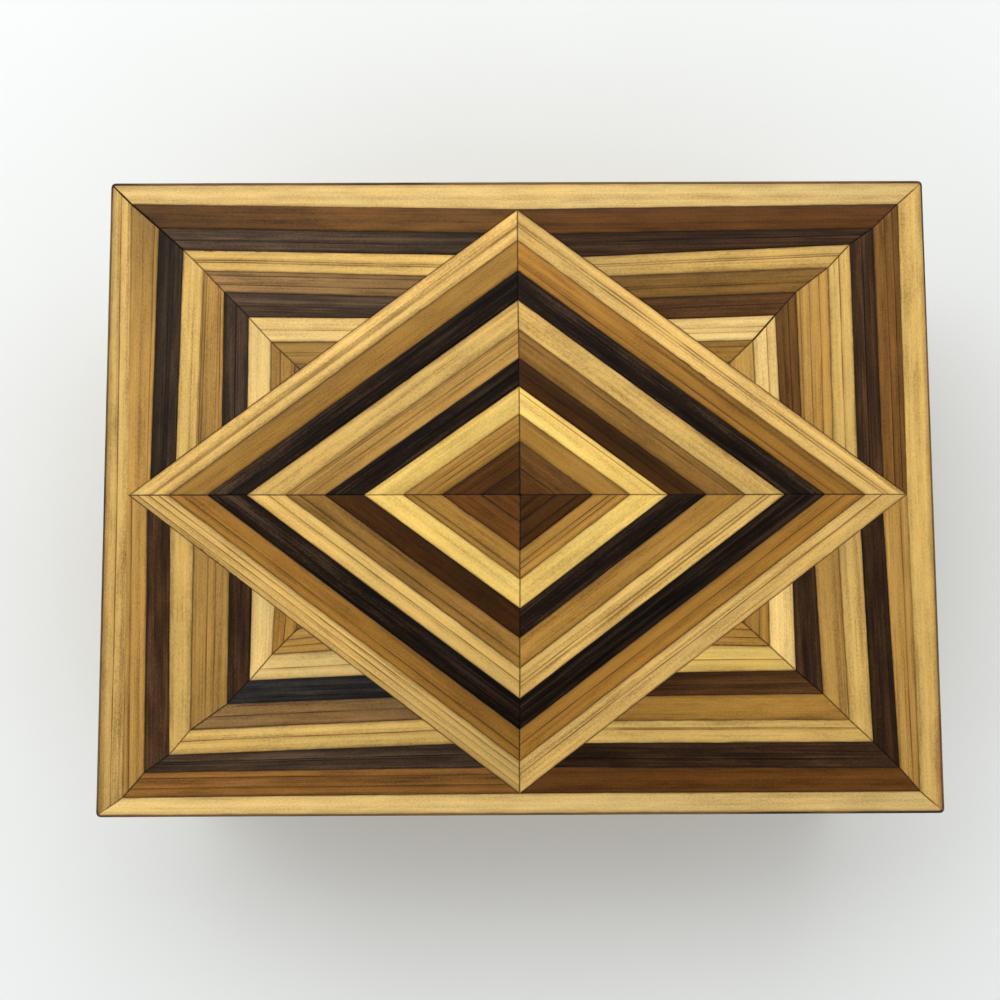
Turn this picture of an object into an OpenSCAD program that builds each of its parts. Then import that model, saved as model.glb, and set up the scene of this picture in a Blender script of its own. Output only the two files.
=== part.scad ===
// Inlaid trinket box: a flat lid with a diamond of mitred wood strips, on a strip-faced box.
// Every strip is a piece of its own, cut to its mitres and laid with a fine glue line.
// X runs along the front, +Y points to the hinged back and +Z up. The origin lies on the
// surface that the box stands on, under the middle of its base. All sizes are in millimetres.

/* [Lid] */
// Width of the lid, left to right
lid_w = 176; // [160:1:200]
// Depth of the lid, front to back
lid_d = 135; // [122:1:150]
// Thickness of the board under the strips
lid_board_t = 8; // [7:0.5:12]
// How far the lid reaches past the box on every side
lid_overhang = 5; // [4.8:0.1:7]

/* [Box] */
// Height of the four walls
wall_h = 46; // [36:1:70]
// Thickness of the walls under the strips
wall_t = 7; // [6:0.5:9]
// Thickness of the base board
base_t = 6; // [4:0.5:9]
// How far the base reaches past the box on every side
base_overhang = 2.5; // [1:0.5:4]

/* [Strips] */
// Thickness of the wood strips
strip_t = 1.5; // [1:0.1:1.6]
// Width of the border strip that runs round the lid
border_w = 4.4; // [4:0.1:6]
// Share of a strip's width that is left for the last ring in each corner
corner_share = 0.2; // [0.15:0.05:0.9]
// How much wider the field's strips are along the short sides than along the long ones
side_widening = 1.05; // [1:0.01:1.1]
// Width of the glue line between neighbouring strips
glue_line = 0.1; // [0.04:0.02:0.16]

/* [Edges] */
// Thickness of the dark banding on the edges of the lid and the base
band_t = 0.6; // [0.5:0.1:1]
// Radius of the upright corners
corner_r = 0.8; // [0.5:0.1:1]
// Radius of the upper arris of the banding
arris_r = 0.4; // [0.2:0.1:0.5]

/* [Hinges] */
// Length of each hinge
hinge_len = 20; // [18:1:26]
// Distance from the side of the box to the middle of a hinge
hinge_inset = 35; // [25:1:45]
// Radius of the hinge barrel
knuckle_r = 1.5; // [1.3:0.1:1.6]
// Radius of the hinge pin
pin_r = 0.75; // [0.5:0.05:0.8]
// Thickness of the hinge leaves
leaf_t = 0.8; // [0.7:0.1:1]
// Width of a leaf, from the pin's axis to its inner edge
leaf_w = 8; // [7:0.1:8.4]
// Length of the screws
screw_len = 6; // [4:0.5:6.5]
// Radius of a screw's shank
screw_r = 0.6; // [0.5:0.05:0.7]
// Radius of a screw's head
screw_head_r = 1.3; // [1.1:0.05:1.5]

/* [Linings] */
// Thickness of the felt on the base and under the lid
felt_t = 1; // [0.6:0.1:2]
// Gap between the base's felt and the walls
felt_gap = 0.3; // [0.1:0.1:1]
// Distance from the walls to the lid's felt
lid_felt_margin = 3; // [2:0.5:8]

/* [Hidden] */
// Rings in the diamond, counted inwards
diamond_rings = 10;
// Last ring round the lid, with the border counted as the first
field_last = 9;
// Rings on each wall, round one middle strip
side_rings = 4;
// Knuckles in a hinge barrel
knuckles = 5;

// Side clearance between neighbouring knuckles
knuckle_gap = 0.2;
// Clearance round the barrel
barrel_gap = 0.3;
// Radial clearance of the pin where the lid's leaf turns on it
pin_play = 0.05;
// Radial clearance where a pin or a screw is fixed
fixed_fit = 0.02;
// Clearance round a leaf in its pocket
pocket_fit = 0.1;
// Depth of a let-in leaf under the surface of the wood
leaf_sink = 0.05;
// Length of a pin's domed end
pin_end = 0.3;
// Depth of a screw's countersunk head
screw_head_h = 0.7;
// Width and depth of the slot in a screw's head
screw_slot = 0.3;
// Distance from a leaf's inner edge to its screws
screw_edge = 2.4;
// Distance from a leaf's end to its screws
screw_end = 3.5;
// Overlap of a cut with what it opens
cut = 1;
// Facets of round shapes
round_fn = 48;

// Place of the lid, where it meets the walls
joint_z = base_t + wall_h;
// Outer sizes of the box, with its strips
body_w = lid_w - 2 * lid_overhang;
body_d = lid_d - 2 * lid_overhang;
// Sizes of the walls under the strips
core_w = body_w - 2 * strip_t;
core_d = body_d - 2 * strip_t;
// Sizes of the space inside
room_w = core_w - 2 * wall_t;
room_d = core_d - 2 * wall_t;
// Sizes of the base
base_w = body_w + 2 * base_overhang;
base_d = body_d + 2 * base_overhang;
// Place of the hinge axis
axis_y = body_d / 2 + knuckle_r + barrel_gap;
hinge_x = body_w / 2 - hinge_inset;
// Length of one knuckle
knuckle_len = (hinge_len - (knuckles - 1) * knuckle_gap) / knuckles;

// Half of the diamond's width and depth, whose tips touch the border
tip_x = lid_w / 2 - band_t - border_w;
tip_y = lid_d / 2 - band_t - border_w;
// Distance from the middle to a side of the diamond
diamond_reach = tip_x * tip_y / norm([tip_x, tip_y]);
diamond_strip_w = diamond_reach / diamond_rings;
// Widths of the field's strips along the long and the short sides, which fill the corners
corner_strips = field_last - 2 + corner_share;
long_strip_w = 1 / (corner_strips * (side_widening / tip_x + 1 / tip_y));
short_strip_w = side_widening * long_strip_w;
// Width of the strips on the walls
side_strip_w = wall_h / (2 * side_rings + 1);

light_wood = [0.85, 0.71, 0.41];
tan_wood = [0.64, 0.48, 0.27];
brown_wood = [0.45, 0.29, 0.15];
dark_wood = [0.20, 0.14, 0.12];
black_wood = [0.11, 0.09, 0.09];
board_wood = [0.62, 0.46, 0.28];
brass = [0.78, 0.62, 0.30];
felt = [0.30, 0.07, 0.09];

// Woods of the rings, from the outermost inwards
field_woods = [light_wood, brown_wood, dark_wood, light_wood, tan_wood, dark_wood, light_wood,
               tan_wood, tan_wood];
diamond_woods = [light_wood, tan_wood, black_wood, light_wood, tan_wood, black_wood, light_wood,
                 tan_wood, brown_wood, brown_wood];

// Piece to show, or all of them

// Edges of a strip: each is a unit normal that points out of the strip, and its distance
// from the middle of the pattern
function free_edge(normal, reach) = [normal / norm(normal), reach];
function glued_edge(normal, reach) = [normal / norm(normal), reach - glue_line / 2];

// Where two edges cross
function crossing(a, b) =
    [a[1] * b[0].y - b[1] * a[0].y, b[1] * a[0].x - a[1] * b[0].x] / cross(a[0], b[0]);

// Corners of the shape between edges that are given in order
function outline(edges) =
    [for (i = [0:len(edges) - 1]) crossing(edges[i], edges[(i + 1) % len(edges)])];

// How far a ring of the field reaches from the middle, along the lid's width and depth
function ring_reach(ring) =
    [tip_x - (ring - 2) * short_strip_w, tip_y - (ring - 2) * long_strip_w];

module strip(edges, thickness) {
    linear_extrude(thickness) polygon(outline(edges));
}

// Four mitred strips round a panel of w by d, the first two along its width
module mitred_frame(w, d, outer, inner, thickness) {
    for (side = [0, 1], turn = [0, 1]) {
        half_len = (turn == 0 ? w : d) / 2;
        half_run = (turn == 0 ? d : w) / 2;
        mitre = (half_len - half_run) / sqrt(2);
        rotate([0, 0, 90 * turn + 180 * side])
            strip([glued_edge([0, 1], half_run - outer),
                   glued_edge([-1, -1], mitre),
                   glued_edge([0, -1], inner - half_run),
                   glued_edge([1, -1], mitre)], thickness);
    }
}

// The same shape in the four quarters of the lid
module in_quarters() {
    for (x = [0, 1], y = [0, 1])
        mirror([x, 0, 0]) mirror([0, y, 0]) children();
}

// Strips of one ring of the field, cut short where they meet the diamond
module field_strips(ring) {
    outer = ring_reach(ring);
    inner = ring_reach(ring + 1);
    mitre_run = [long_strip_w, -short_strip_w];
    mitre = mitre_run * [tip_x, tip_y] / norm(mitre_run);
    diamond = glued_edge([-1 / tip_x, -1 / tip_y], -diamond_reach);
    along = ring < field_last ? [glued_edge([0, -1], -inner.y)] : [];
    across = ring < field_last ? [glued_edge([-1, 0], -inner.x)] : [];
    in_quarters() {
        strip(concat([glued_edge([0, 1], outer.y), diamond], along,
                     [glued_edge(mitre_run, mitre)]), strip_t);
        strip(concat([glued_edge(-mitre_run, -mitre)], across,
                     [diamond, glued_edge([1, 0], outer.x)]), strip_t);
    }
}

// Strips of one ring of the diamond, which meet on its two diagonals
module diamond_strips(ring) {
    outer = diamond_reach - (ring - 1) * diamond_strip_w;
    inner = diamond_reach - ring * diamond_strip_w;
    run = [1 / tip_x, 1 / tip_y];
    inside = ring < diamond_rings ? [glued_edge(-run, -inner)] : [];
    in_quarters()
        strip(concat([glued_edge(run, outer), glued_edge([-1, 0], 0)], inside,
                     [glued_edge([0, -1], 0)]), strip_t);
}

// A pattern laid on the lid's board
module on_lid() {
    translate([0, 0, joint_z + lid_board_t]) children();
}

// A rectangle with round corners
module round_rect(w, d, r) {
    square([w - 2 * r, d], center = true);
    square([w, d - 2 * r], center = true);
    for (x = [-1, 1], y = [-1, 1])
        translate([x * (w / 2 - r), y * (d / 2 - r)]) circle(r, $fn = round_fn);
}

// A board with round upright corners and a soft upper arris
module soft_board(w, d, h) {
    intersection() {
        linear_extrude(h) round_rect(w, d, corner_r);
        rotate([90, 0, 0])
            linear_extrude(d + 2 * cut, center = true) soft_top(w, h);
        rotate([90, 0, 90])
            linear_extrude(w + 2 * cut, center = true) soft_top(d, h);
    }
}

// The section of a board: square below and rounded at its two upper corners
module soft_top(w, h) {
    translate([-w / 2, 0]) square([w, h - arris_r]);
    translate([arris_r - w / 2, 0]) square([w - 2 * arris_r, h]);
    for (x = [-1, 1])
        translate([x * (w / 2 - arris_r), h - arris_r]) circle(arris_r, $fn = round_fn);
}

// Banding round the edges of a board of w by d, mitred at its corners
module banding(w, d, h) {
    intersection() {
        for (side = [0, 1], turn = [0, 1]) {
            half_len = (turn == 0 ? w : d) / 2;
            half_run = (turn == 0 ? d : w) / 2;
            mitre = (half_len - half_run) / sqrt(2);
            rotate([0, 0, 90 * turn + 180 * side])
                strip([free_edge([0, 1], half_run),
                       glued_edge([-1, -1], mitre),
                       free_edge([0, -1], band_t - half_run),
                       glued_edge([1, -1], mitre)], h);
        }
        soft_board(w, d, h);
    }
}

// A plain board of w by d, centred over the origin
module board(w, d, h) {
    translate([-w / 2, -d / 2, 0]) cube([w, d, h]);
}

// A wall along X, mitred at both ends, whose outer face lies at reach from the middle
module mitred_wall(len, reach) {
    translate([0, 0, base_t])
        linear_extrude(wall_h)
            polygon([[-len / 2, -reach], [len / 2, -reach],
                     [len / 2 - wall_t, wall_t - reach], [wall_t - len / 2, wall_t - reach]]);
}

// A pattern laid on each of the four walls: child 0 on the long walls, child 1 on the short
module on_walls() {
    middle_z = base_t + wall_h / 2;
    for (turn = [0, 180])
        rotate([0, 0, turn]) translate([0, -core_d / 2, middle_z]) rotate([90, 0, 0]) children(0);
    for (turn = [90, 270])
        rotate([0, 0, turn]) translate([0, -core_w / 2, middle_z]) rotate([90, 0, 0]) children(1);
}

// One ring of the pattern on the walls
module side_ring(ring) {
    outer = (ring - 1) * side_strip_w;
    inner = ring * side_strip_w;
    on_walls() {
        mitred_frame(body_w, wall_h, outer, inner, strip_t);
        mitred_frame(core_d, wall_h, outer, inner, strip_t);
    }
}

// Something at each hinge
module at_hinges() {
    for (side = [-1, 1])
        at_hinge(side) children();
}

// Something at the hinge on one side, seen from the middle of its axis
module at_hinge(side) {
    translate([side * hinge_x, axis_y, joint_z]) children();
}

// A cylinder along X that starts at x
module along_x(x, len, r) {
    translate([x, 0, 0]) rotate([0, 90, 0]) cylinder(h = len, r = r, $fn = round_fn);
}

// Start of a knuckle, counted from 0
function knuckle_x(i) = -hinge_len / 2 + i * (knuckle_len + knuckle_gap);

// The pocket that a let-in leaf needs, below the joint
module leaf_pocket() {
    depth = leaf_t + leaf_sink;
    translate([-hinge_len / 2 - pocket_fit, -leaf_w - pocket_fit, -depth])
        cube([hinge_len + 2 * pocket_fit, leaf_w + pocket_fit, depth + cut]);
}

// Places of a leaf's two screws
module at_screws() {
    for (side = [-1, 1])
        translate([side * (hinge_len / 2 - screw_end), screw_edge - leaf_w, -leaf_sink])
            children();
}

// Round holes in the wood for a leaf's screws
module screw_holes() {
    at_screws()
        translate([0, 0, -screw_len - fixed_fit])
            cylinder(h = screw_len, r = screw_r + fixed_fit, $fn = round_fn);
}

// A countersunk head, grown by fit all round
module screw_head(fit) {
    translate([0, 0, -screw_head_h])
        cylinder(h = screw_head_h, r1 = screw_r + fit, r2 = screw_head_r + fit, $fn = round_fn);
}

// A slotted screw, whose head lies level with the origin
module screw() {
    difference() {
        union() {
            screw_head(0);
            translate([0, 0, -screw_len])
                cylinder(h = screw_len - screw_head_h, r = screw_r, $fn = round_fn);
        }
        translate([-screw_head_r - cut, -screw_slot / 2, -screw_slot])
            cube([2 * (screw_head_r + cut), screw_slot, screw_slot + cut]);
    }
}

// A leaf that lies below the joint, with the knuckles that start at first
module leaf(first, play) {
    difference() {
        union() {
            translate([-hinge_len / 2, -leaf_w, -leaf_t - leaf_sink])
                cube([hinge_len, leaf_w, leaf_t]);
            for (i = [first:2:knuckles - 1])
                along_x(knuckle_x(i), knuckle_len, knuckle_r);
        }
        for (i = [1 - first:2:knuckles - 1])
            along_x(knuckle_x(i) - knuckle_gap, knuckle_len + 2 * knuckle_gap,
                    knuckle_r + barrel_gap);
        along_x(-hinge_len / 2 - cut, hinge_len + 2 * cut, pin_r + play);
        at_screws() {
            screw_head(fixed_fit);
            translate([0, 0, -leaf_t - cut])
                cylinder(h = leaf_t + cut, r = screw_r + fixed_fit, $fn = round_fn);
        }
    }
}

// The same, turned over for the lid
module under_lid() {
    mirror([0, 0, 1]) children();
}

// A pin with domed ends
module hinge_pin() {
    along_x(-hinge_len / 2, hinge_len, pin_r);
    for (side = [0, 1])
        mirror([side, 0, 0]) translate([hinge_len / 2, 0, 0])
            rotate([0, 90, 0])
                cylinder(h = pin_end, r1 = pin_r, r2 = pin_r - pin_end, $fn = round_fn);
}

module base_board() {
    color(board_wood) board(base_w - 2 * band_t, base_d - 2 * band_t, base_t);
}

module base_edge_banding() {
    color(dark_wood) banding(base_w, base_d, base_t);
}

module base_lining() {
    color(felt)
        translate([0, 0, base_t]) board(room_w - 2 * felt_gap, room_d - 2 * felt_gap, felt_t);
}

module front_wall() {
    color(board_wood) mitred_wall(core_w, core_d / 2);
}

module back_wall() {
    color(board_wood)
        difference() {
            rotate([0, 0, 180]) mitred_wall(core_w, core_d / 2);
            at_hinges() {
                leaf_pocket();
                screw_holes();
            }
        }
}

module left_wall() {
    color(board_wood) rotate([0, 0, -90]) mitred_wall(core_d, core_w / 2);
}

module right_wall() {
    color(board_wood) rotate([0, 0, 90]) mitred_wall(core_d, core_w / 2);
}

module side_border() {
    color(light_wood)
        difference() {
            intersection() {
                side_ring(1);
                translate([0, 0, base_t - cut])
                    linear_extrude(wall_h + 2 * cut) round_rect(body_w, body_d, corner_r);
            }
            at_hinges() leaf_pocket();
        }
}

module side_ring_2() {
    color(tan_wood) side_ring(2);
}

module side_ring_3() {
    color(dark_wood) side_ring(3);
}

module side_ring_4() {
    color(light_wood) side_ring(4);
}

module side_core() {
    inset = side_rings * side_strip_w + glue_line / 2;
    color(tan_wood)
        on_walls() {
            board(body_w - 2 * inset, wall_h - 2 * inset, strip_t);
            board(core_d - 2 * inset, wall_h - 2 * inset, strip_t);
        }
}

module lower_leaf_left() {
    color(brass) at_hinge(-1) leaf(0, fixed_fit);
}

module lower_leaf_right() {
    color(brass) at_hinge(1) leaf(0, fixed_fit);
}

module hinge_pin_left() {
    color(brass) at_hinge(-1) hinge_pin();
}

module hinge_pin_right() {
    color(brass) at_hinge(1) hinge_pin();
}

module lower_leaf_screws() {
    color(brass) at_hinges() at_screws() screw();
}

module lid_board() {
    color(board_wood)
        difference() {
            translate([0, 0, joint_z]) board(lid_w - 2 * band_t, lid_d - 2 * band_t, lid_board_t);
            at_hinges() {
                under_lid() {
                    leaf_pocket();
                    screw_holes();
                }
                along_x(-hinge_len / 2 - pin_end - barrel_gap,
                        hinge_len + 2 * (pin_end + barrel_gap), knuckle_r + barrel_gap);
            }
        }
}

module lid_edge_banding() {
    color(dark_wood) translate([0, 0, joint_z]) banding(lid_w, lid_d, lid_board_t + strip_t);
}

module lid_lining() {
    color(felt)
        translate([0, 0, joint_z - felt_t])
            board(room_w - 2 * lid_felt_margin, room_d - 2 * lid_felt_margin, felt_t);
}

module lid_border() {
    color(field_woods[0])
        on_lid() mitred_frame(lid_w, lid_d, band_t, band_t + border_w, strip_t);
}

module field_ring(ring) {
    color(field_woods[ring - 1]) on_lid() field_strips(ring);
}

module diamond_ring(ring) {
    color(diamond_woods[ring - 1]) on_lid() diamond_strips(ring);
}

module upper_leaf_left() {
    color(brass) at_hinge(-1) under_lid() leaf(1, pin_play);
}

module upper_leaf_right() {
    color(brass) at_hinge(1) under_lid() leaf(1, pin_play);
}

module upper_leaf_screws() {
    color(brass) at_hinges() under_lid() at_screws() screw();
}

base_board();
base_edge_banding();
base_lining();
front_wall();
back_wall();
left_wall();
right_wall();
side_border();
side_ring_2();
side_ring_3();
side_ring_4();
side_core();
lower_leaf_left();
lower_leaf_right();
hinge_pin_left();
hinge_pin_right();
lower_leaf_screws();
lid_board();
lid_edge_banding();
lid_lining();
lid_border();
field_ring(2);  // field_ring_2
field_ring(3);  // field_ring_3
field_ring(4);  // field_ring_4
field_ring(5);  // field_ring_5
field_ring(6);  // field_ring_6
field_ring(7);  // field_ring_7
field_ring(8);  // field_ring_8
field_ring(9);  // field_ring_9
diamond_ring(1);  // diamond_ring_1
diamond_ring(2);  // diamond_ring_2
diamond_ring(3);  // diamond_ring_3
diamond_ring(4);  // diamond_ring_4
diamond_ring(5);  // diamond_ring_5
diamond_ring(6);  // diamond_ring_6
diamond_ring(7);  // diamond_ring_7
diamond_ring(8);  // diamond_ring_8
diamond_ring(9);  // diamond_ring_9
diamond_ring(10);  // diamond_ring_10
upper_leaf_left();
upper_leaf_right();
upper_leaf_screws();
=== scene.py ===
"""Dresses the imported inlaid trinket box: hand-laid strips, boards, felt, brass and a plain studio.

X runs along the front, +Y points to the hinged back and +Z up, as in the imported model. Every
length is in metres unless its name ends in _mm.
"""

import logging
import math
import random
from collections import Counter
from collections.abc import Callable, Sequence
from dataclasses import dataclass, field
from enum import Enum
from functools import cache, reduce

import bmesh
import bpy
from mathutils import Matrix, Vector, noise


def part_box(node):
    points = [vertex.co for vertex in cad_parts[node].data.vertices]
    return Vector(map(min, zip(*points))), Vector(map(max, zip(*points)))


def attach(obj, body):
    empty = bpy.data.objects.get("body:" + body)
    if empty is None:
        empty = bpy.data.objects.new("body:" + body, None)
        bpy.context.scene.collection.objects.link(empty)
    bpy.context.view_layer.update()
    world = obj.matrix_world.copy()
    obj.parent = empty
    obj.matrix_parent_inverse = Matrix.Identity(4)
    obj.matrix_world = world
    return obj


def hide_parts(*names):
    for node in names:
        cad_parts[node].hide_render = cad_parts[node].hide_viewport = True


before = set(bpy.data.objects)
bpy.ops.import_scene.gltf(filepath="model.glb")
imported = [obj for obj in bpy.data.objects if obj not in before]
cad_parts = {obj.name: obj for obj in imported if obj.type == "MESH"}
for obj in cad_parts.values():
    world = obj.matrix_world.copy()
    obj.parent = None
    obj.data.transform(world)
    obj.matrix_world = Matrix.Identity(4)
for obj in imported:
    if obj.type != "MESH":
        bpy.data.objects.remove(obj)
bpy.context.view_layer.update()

LOG = logging.getLogger("trinket_box")
MM = 0.001
UP = Vector((0, 0, 1))
# Half of the glue line between two packed strips
HALF_GLUE_LINE = 0.05 * MM
# Closer together than this, two points of a mesh are one
SAME_POINT = 1e-7

Socket = bpy.types.NodeSocket
Value = Socket | float
Pair = tuple[float, float]


def linear_colour(hex_code: str) -> Vector:
    """Turns a colour as a screen shows it into the linear one that shaders take.

    Args:
        hex_code: Six hex digits.

    Returns:
        The linear red, green and blue.
    """
    shown = (int(hex_code[i:i + 2], 16) / 255 for i in (0, 2, 4))
    return Vector([c / 12.92 if c <= 0.04045 else ((c + 0.055) / 1.055) ** 2.4 for c in shown])


class NodePen:
    """Writes nodes into one tree and joins their sockets."""

    def __init__(self, tree: bpy.types.NodeTree) -> None:
        """Takes the tree to write in."""
        self.tree = tree

    def join(self, socket: Socket, value: object) -> None:
        """Links a socket to another one, or sets its value.

        Args:
            socket: The input to fill.
            value: Another node's output, or a plain value.
        """
        if isinstance(value, bpy.types.NodeSocket):
            self.tree.links.new(value, socket)
        elif socket.type == "RGBA" and isinstance(value, Vector):
            socket.default_value = (*value, 1.0)
        else:
            socket.default_value = value

    def add(self, kind: str, inputs: dict[str | int, object] | None = None,
            **settings: object) -> bpy.types.Node:
        """Adds a node.

        Args:
            kind: The node's type.
            inputs: What each input takes, by its name or number.
            **settings: The node's own settings.

        Returns:
            The new node.
        """
        node = self.tree.nodes.new(kind)
        for name, value in settings.items():
            setattr(node, name, value)
        for key, value in (inputs or {}).items():
            self.join(node.inputs[key], value)
        return node

    def math(self, operation: str, a: Value, b: Value = 0.0, c: Value = 0.0) -> Socket:
        """Works out a number.

        Args:
            operation: What is worked out.
            a: The first number.
            b: The second one, if it takes two.
            c: The third one, if it takes three.

        Returns:
            The result.
        """
        return self.add("ShaderNodeMath", {0: a, 1: b, 2: c}, operation=operation).outputs[0]

    def vector(self, operation: str, a: object, b: object = (0.0, 0.0, 0.0)) -> Socket:
        """Works out a vector.

        Args:
            operation: What is worked out.
            a: The first vector.
            b: The second vector, or the factor where the operation is SCALE.

        Returns:
            The result, a number for DOT_PRODUCT and LENGTH.
        """
        node = self.add("ShaderNodeVectorMath", {0: a}, operation=operation)
        self.join(node.inputs["Scale" if operation == "SCALE" else 1], b)
        return node.outputs[1 if operation in ("DOT_PRODUCT", "LENGTH") else 0]

    def split(self, vector: Socket) -> list[Socket]:
        """Gives the three parts of a vector."""
        return list(self.add("ShaderNodeSeparateXYZ", {0: vector}).outputs)

    def combine(self, x: Value, y: Value, z: Value) -> Socket:
        """Makes a vector of three numbers."""
        return self.add("ShaderNodeCombineXYZ", {0: x, 1: y, 2: z}).outputs[0]

    def fade(self, value: Value, full: float, gone: float) -> Socket:
        """Gives 1 where the value is full and 0 where it is gone, with a soft step between."""
        return self.add("ShaderNodeMapRange", {0: value, 1: full, 2: gone, 3: 1.0, 4: 0.0},
                        interpolation_type="SMOOTHSTEP").outputs[0]

    def blend_colour(self, factor: Value, a: object, b: object) -> Socket:
        """Blends from colour a to colour b."""
        return self.add("ShaderNodeMix", {0: factor, 6: a, 7: b}, data_type="RGBA").outputs[2]

    def blend_place(self, factor: Value, a: object, b: object) -> Socket:
        """Blends from point a to point b."""
        return self.add("ShaderNodeMix", {0: factor, 4: a, 5: b}, data_type="VECTOR").outputs[1]

    def streaks(self, place: Socket, length_mm: float, width_mm: float,
                detail: float = 2.0) -> Socket:
        """Adds streaks that run along the grain.

        Args:
            place: The place on the wood in millimetres, whose X runs along the grain.
            length_mm: About how long a streak is.
            width_mm: About how wide it is.
            detail: How much finer detail lies on it.

        Returns:
            A value that lies about 0.5.
        """
        scaled = self.vector("MULTIPLY", place, (1 / length_mm, 1 / width_mm, 1 / width_mm))
        return self.add("ShaderNodeTexNoise", {"Vector": scaled, "Scale": 1.0, "Detail": detail,
                                               "Roughness": 0.55}).outputs[0]

    def swing(self, value: Socket, amount: float) -> Socket:
        """Turns a value about 0.5 into one about 0 that swings by the amount."""
        return self.times(self.math("SUBTRACT", value, 0.5), 2 * amount)

    def chain(self, operation: str, values: Sequence[Value]) -> Socket:
        """Works out several numbers, two at a time from left to right."""
        return reduce(lambda first, second: self.math(operation, first, second), values)

    def total(self, *values: Value) -> Socket:
        """Adds up several numbers."""
        return self.chain("ADD", values)

    def times(self, *values: Value) -> Socket:
        """Multiplies several numbers."""
        return self.chain("MULTIPLY", values)

    def most(self, *values: Value) -> Socket:
        """Gives the highest of several numbers."""
        return self.chain("MAXIMUM", values)

    def least(self, *values: Value) -> Socket:
        """Gives the lowest of several numbers."""
        return self.chain("MINIMUM", values)

    def rest(self, share: Value) -> Socket:
        """Gives what a share leaves of 1."""
        return self.math("SUBTRACT", 1.0, share)

    def off_middle(self, share: Value) -> Socket:
        """Turns a share from 0 to 1 into how far off the middle it is, from -1 to 1."""
        return self.math("MULTIPLY_ADD", share, 2.0, -1.0)

    def scaled(self, vector: Socket, factor: Value) -> Socket:
        """Makes a vector longer or shorter."""
        return self.vector("SCALE", vector, factor)

    def way(self, start: object, stop: object) -> Socket:
        """Gives the way from one point to another."""
        return self.vector("SUBTRACT", stop, start)

    def dot(self, a: Socket, b: Socket) -> Socket:
        """Gives how far one vector reaches along another."""
        return self.vector("DOT_PRODUCT", a, b)


class FinishPen(NodePen):
    """Writes the nodes of a material and fills its surface shader."""

    def __init__(self, name: str) -> None:
        """Starts a material.

        Args:
            name: The finish's name.
        """
        self.material = bpy.data.materials.new(name)
        self.material.use_nodes = True
        super().__init__(self.material.node_tree)
        self.surface = self.tree.nodes["Principled BSDF"]

    def place_mm(self) -> Socket:
        """Gives the place in the object's own coordinates, in millimetres."""
        return self.scaled(self.add("ShaderNodeTexCoord").outputs["Object"], 1 / MM)

    def painted(self, name: str, output: str = "Vector") -> Socket:
        """Reads one of the mesh's attributes."""
        return self.add("ShaderNodeAttribute", attribute_name=name).outputs[output]

    def bump(self, strength: float, relief_mm: Socket) -> Socket:
        """Turns a relief in millimetres into the normal of the surface."""
        return self.add("ShaderNodeBump", {"Strength": strength, "Distance": MM,
                                           "Height": relief_mm}).outputs[0]

    def fill(self, inputs: dict[str, object]) -> None:
        """Fills the surface shader, with plain values straight on its own sockets.

        Args:
            inputs: What each input takes, by its name.
        """
        for name, value in inputs.items():
            self.join(self.surface.inputs[name], value)


class Grain(Enum):
    """Which way the grain runs in a board, as the order in which its coordinates are read."""

    ALONG_X = (0, 1, 2)
    ALONG_Y = (1, 0, 2)
    ALONG_Z = (2, 0, 1)


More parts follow.
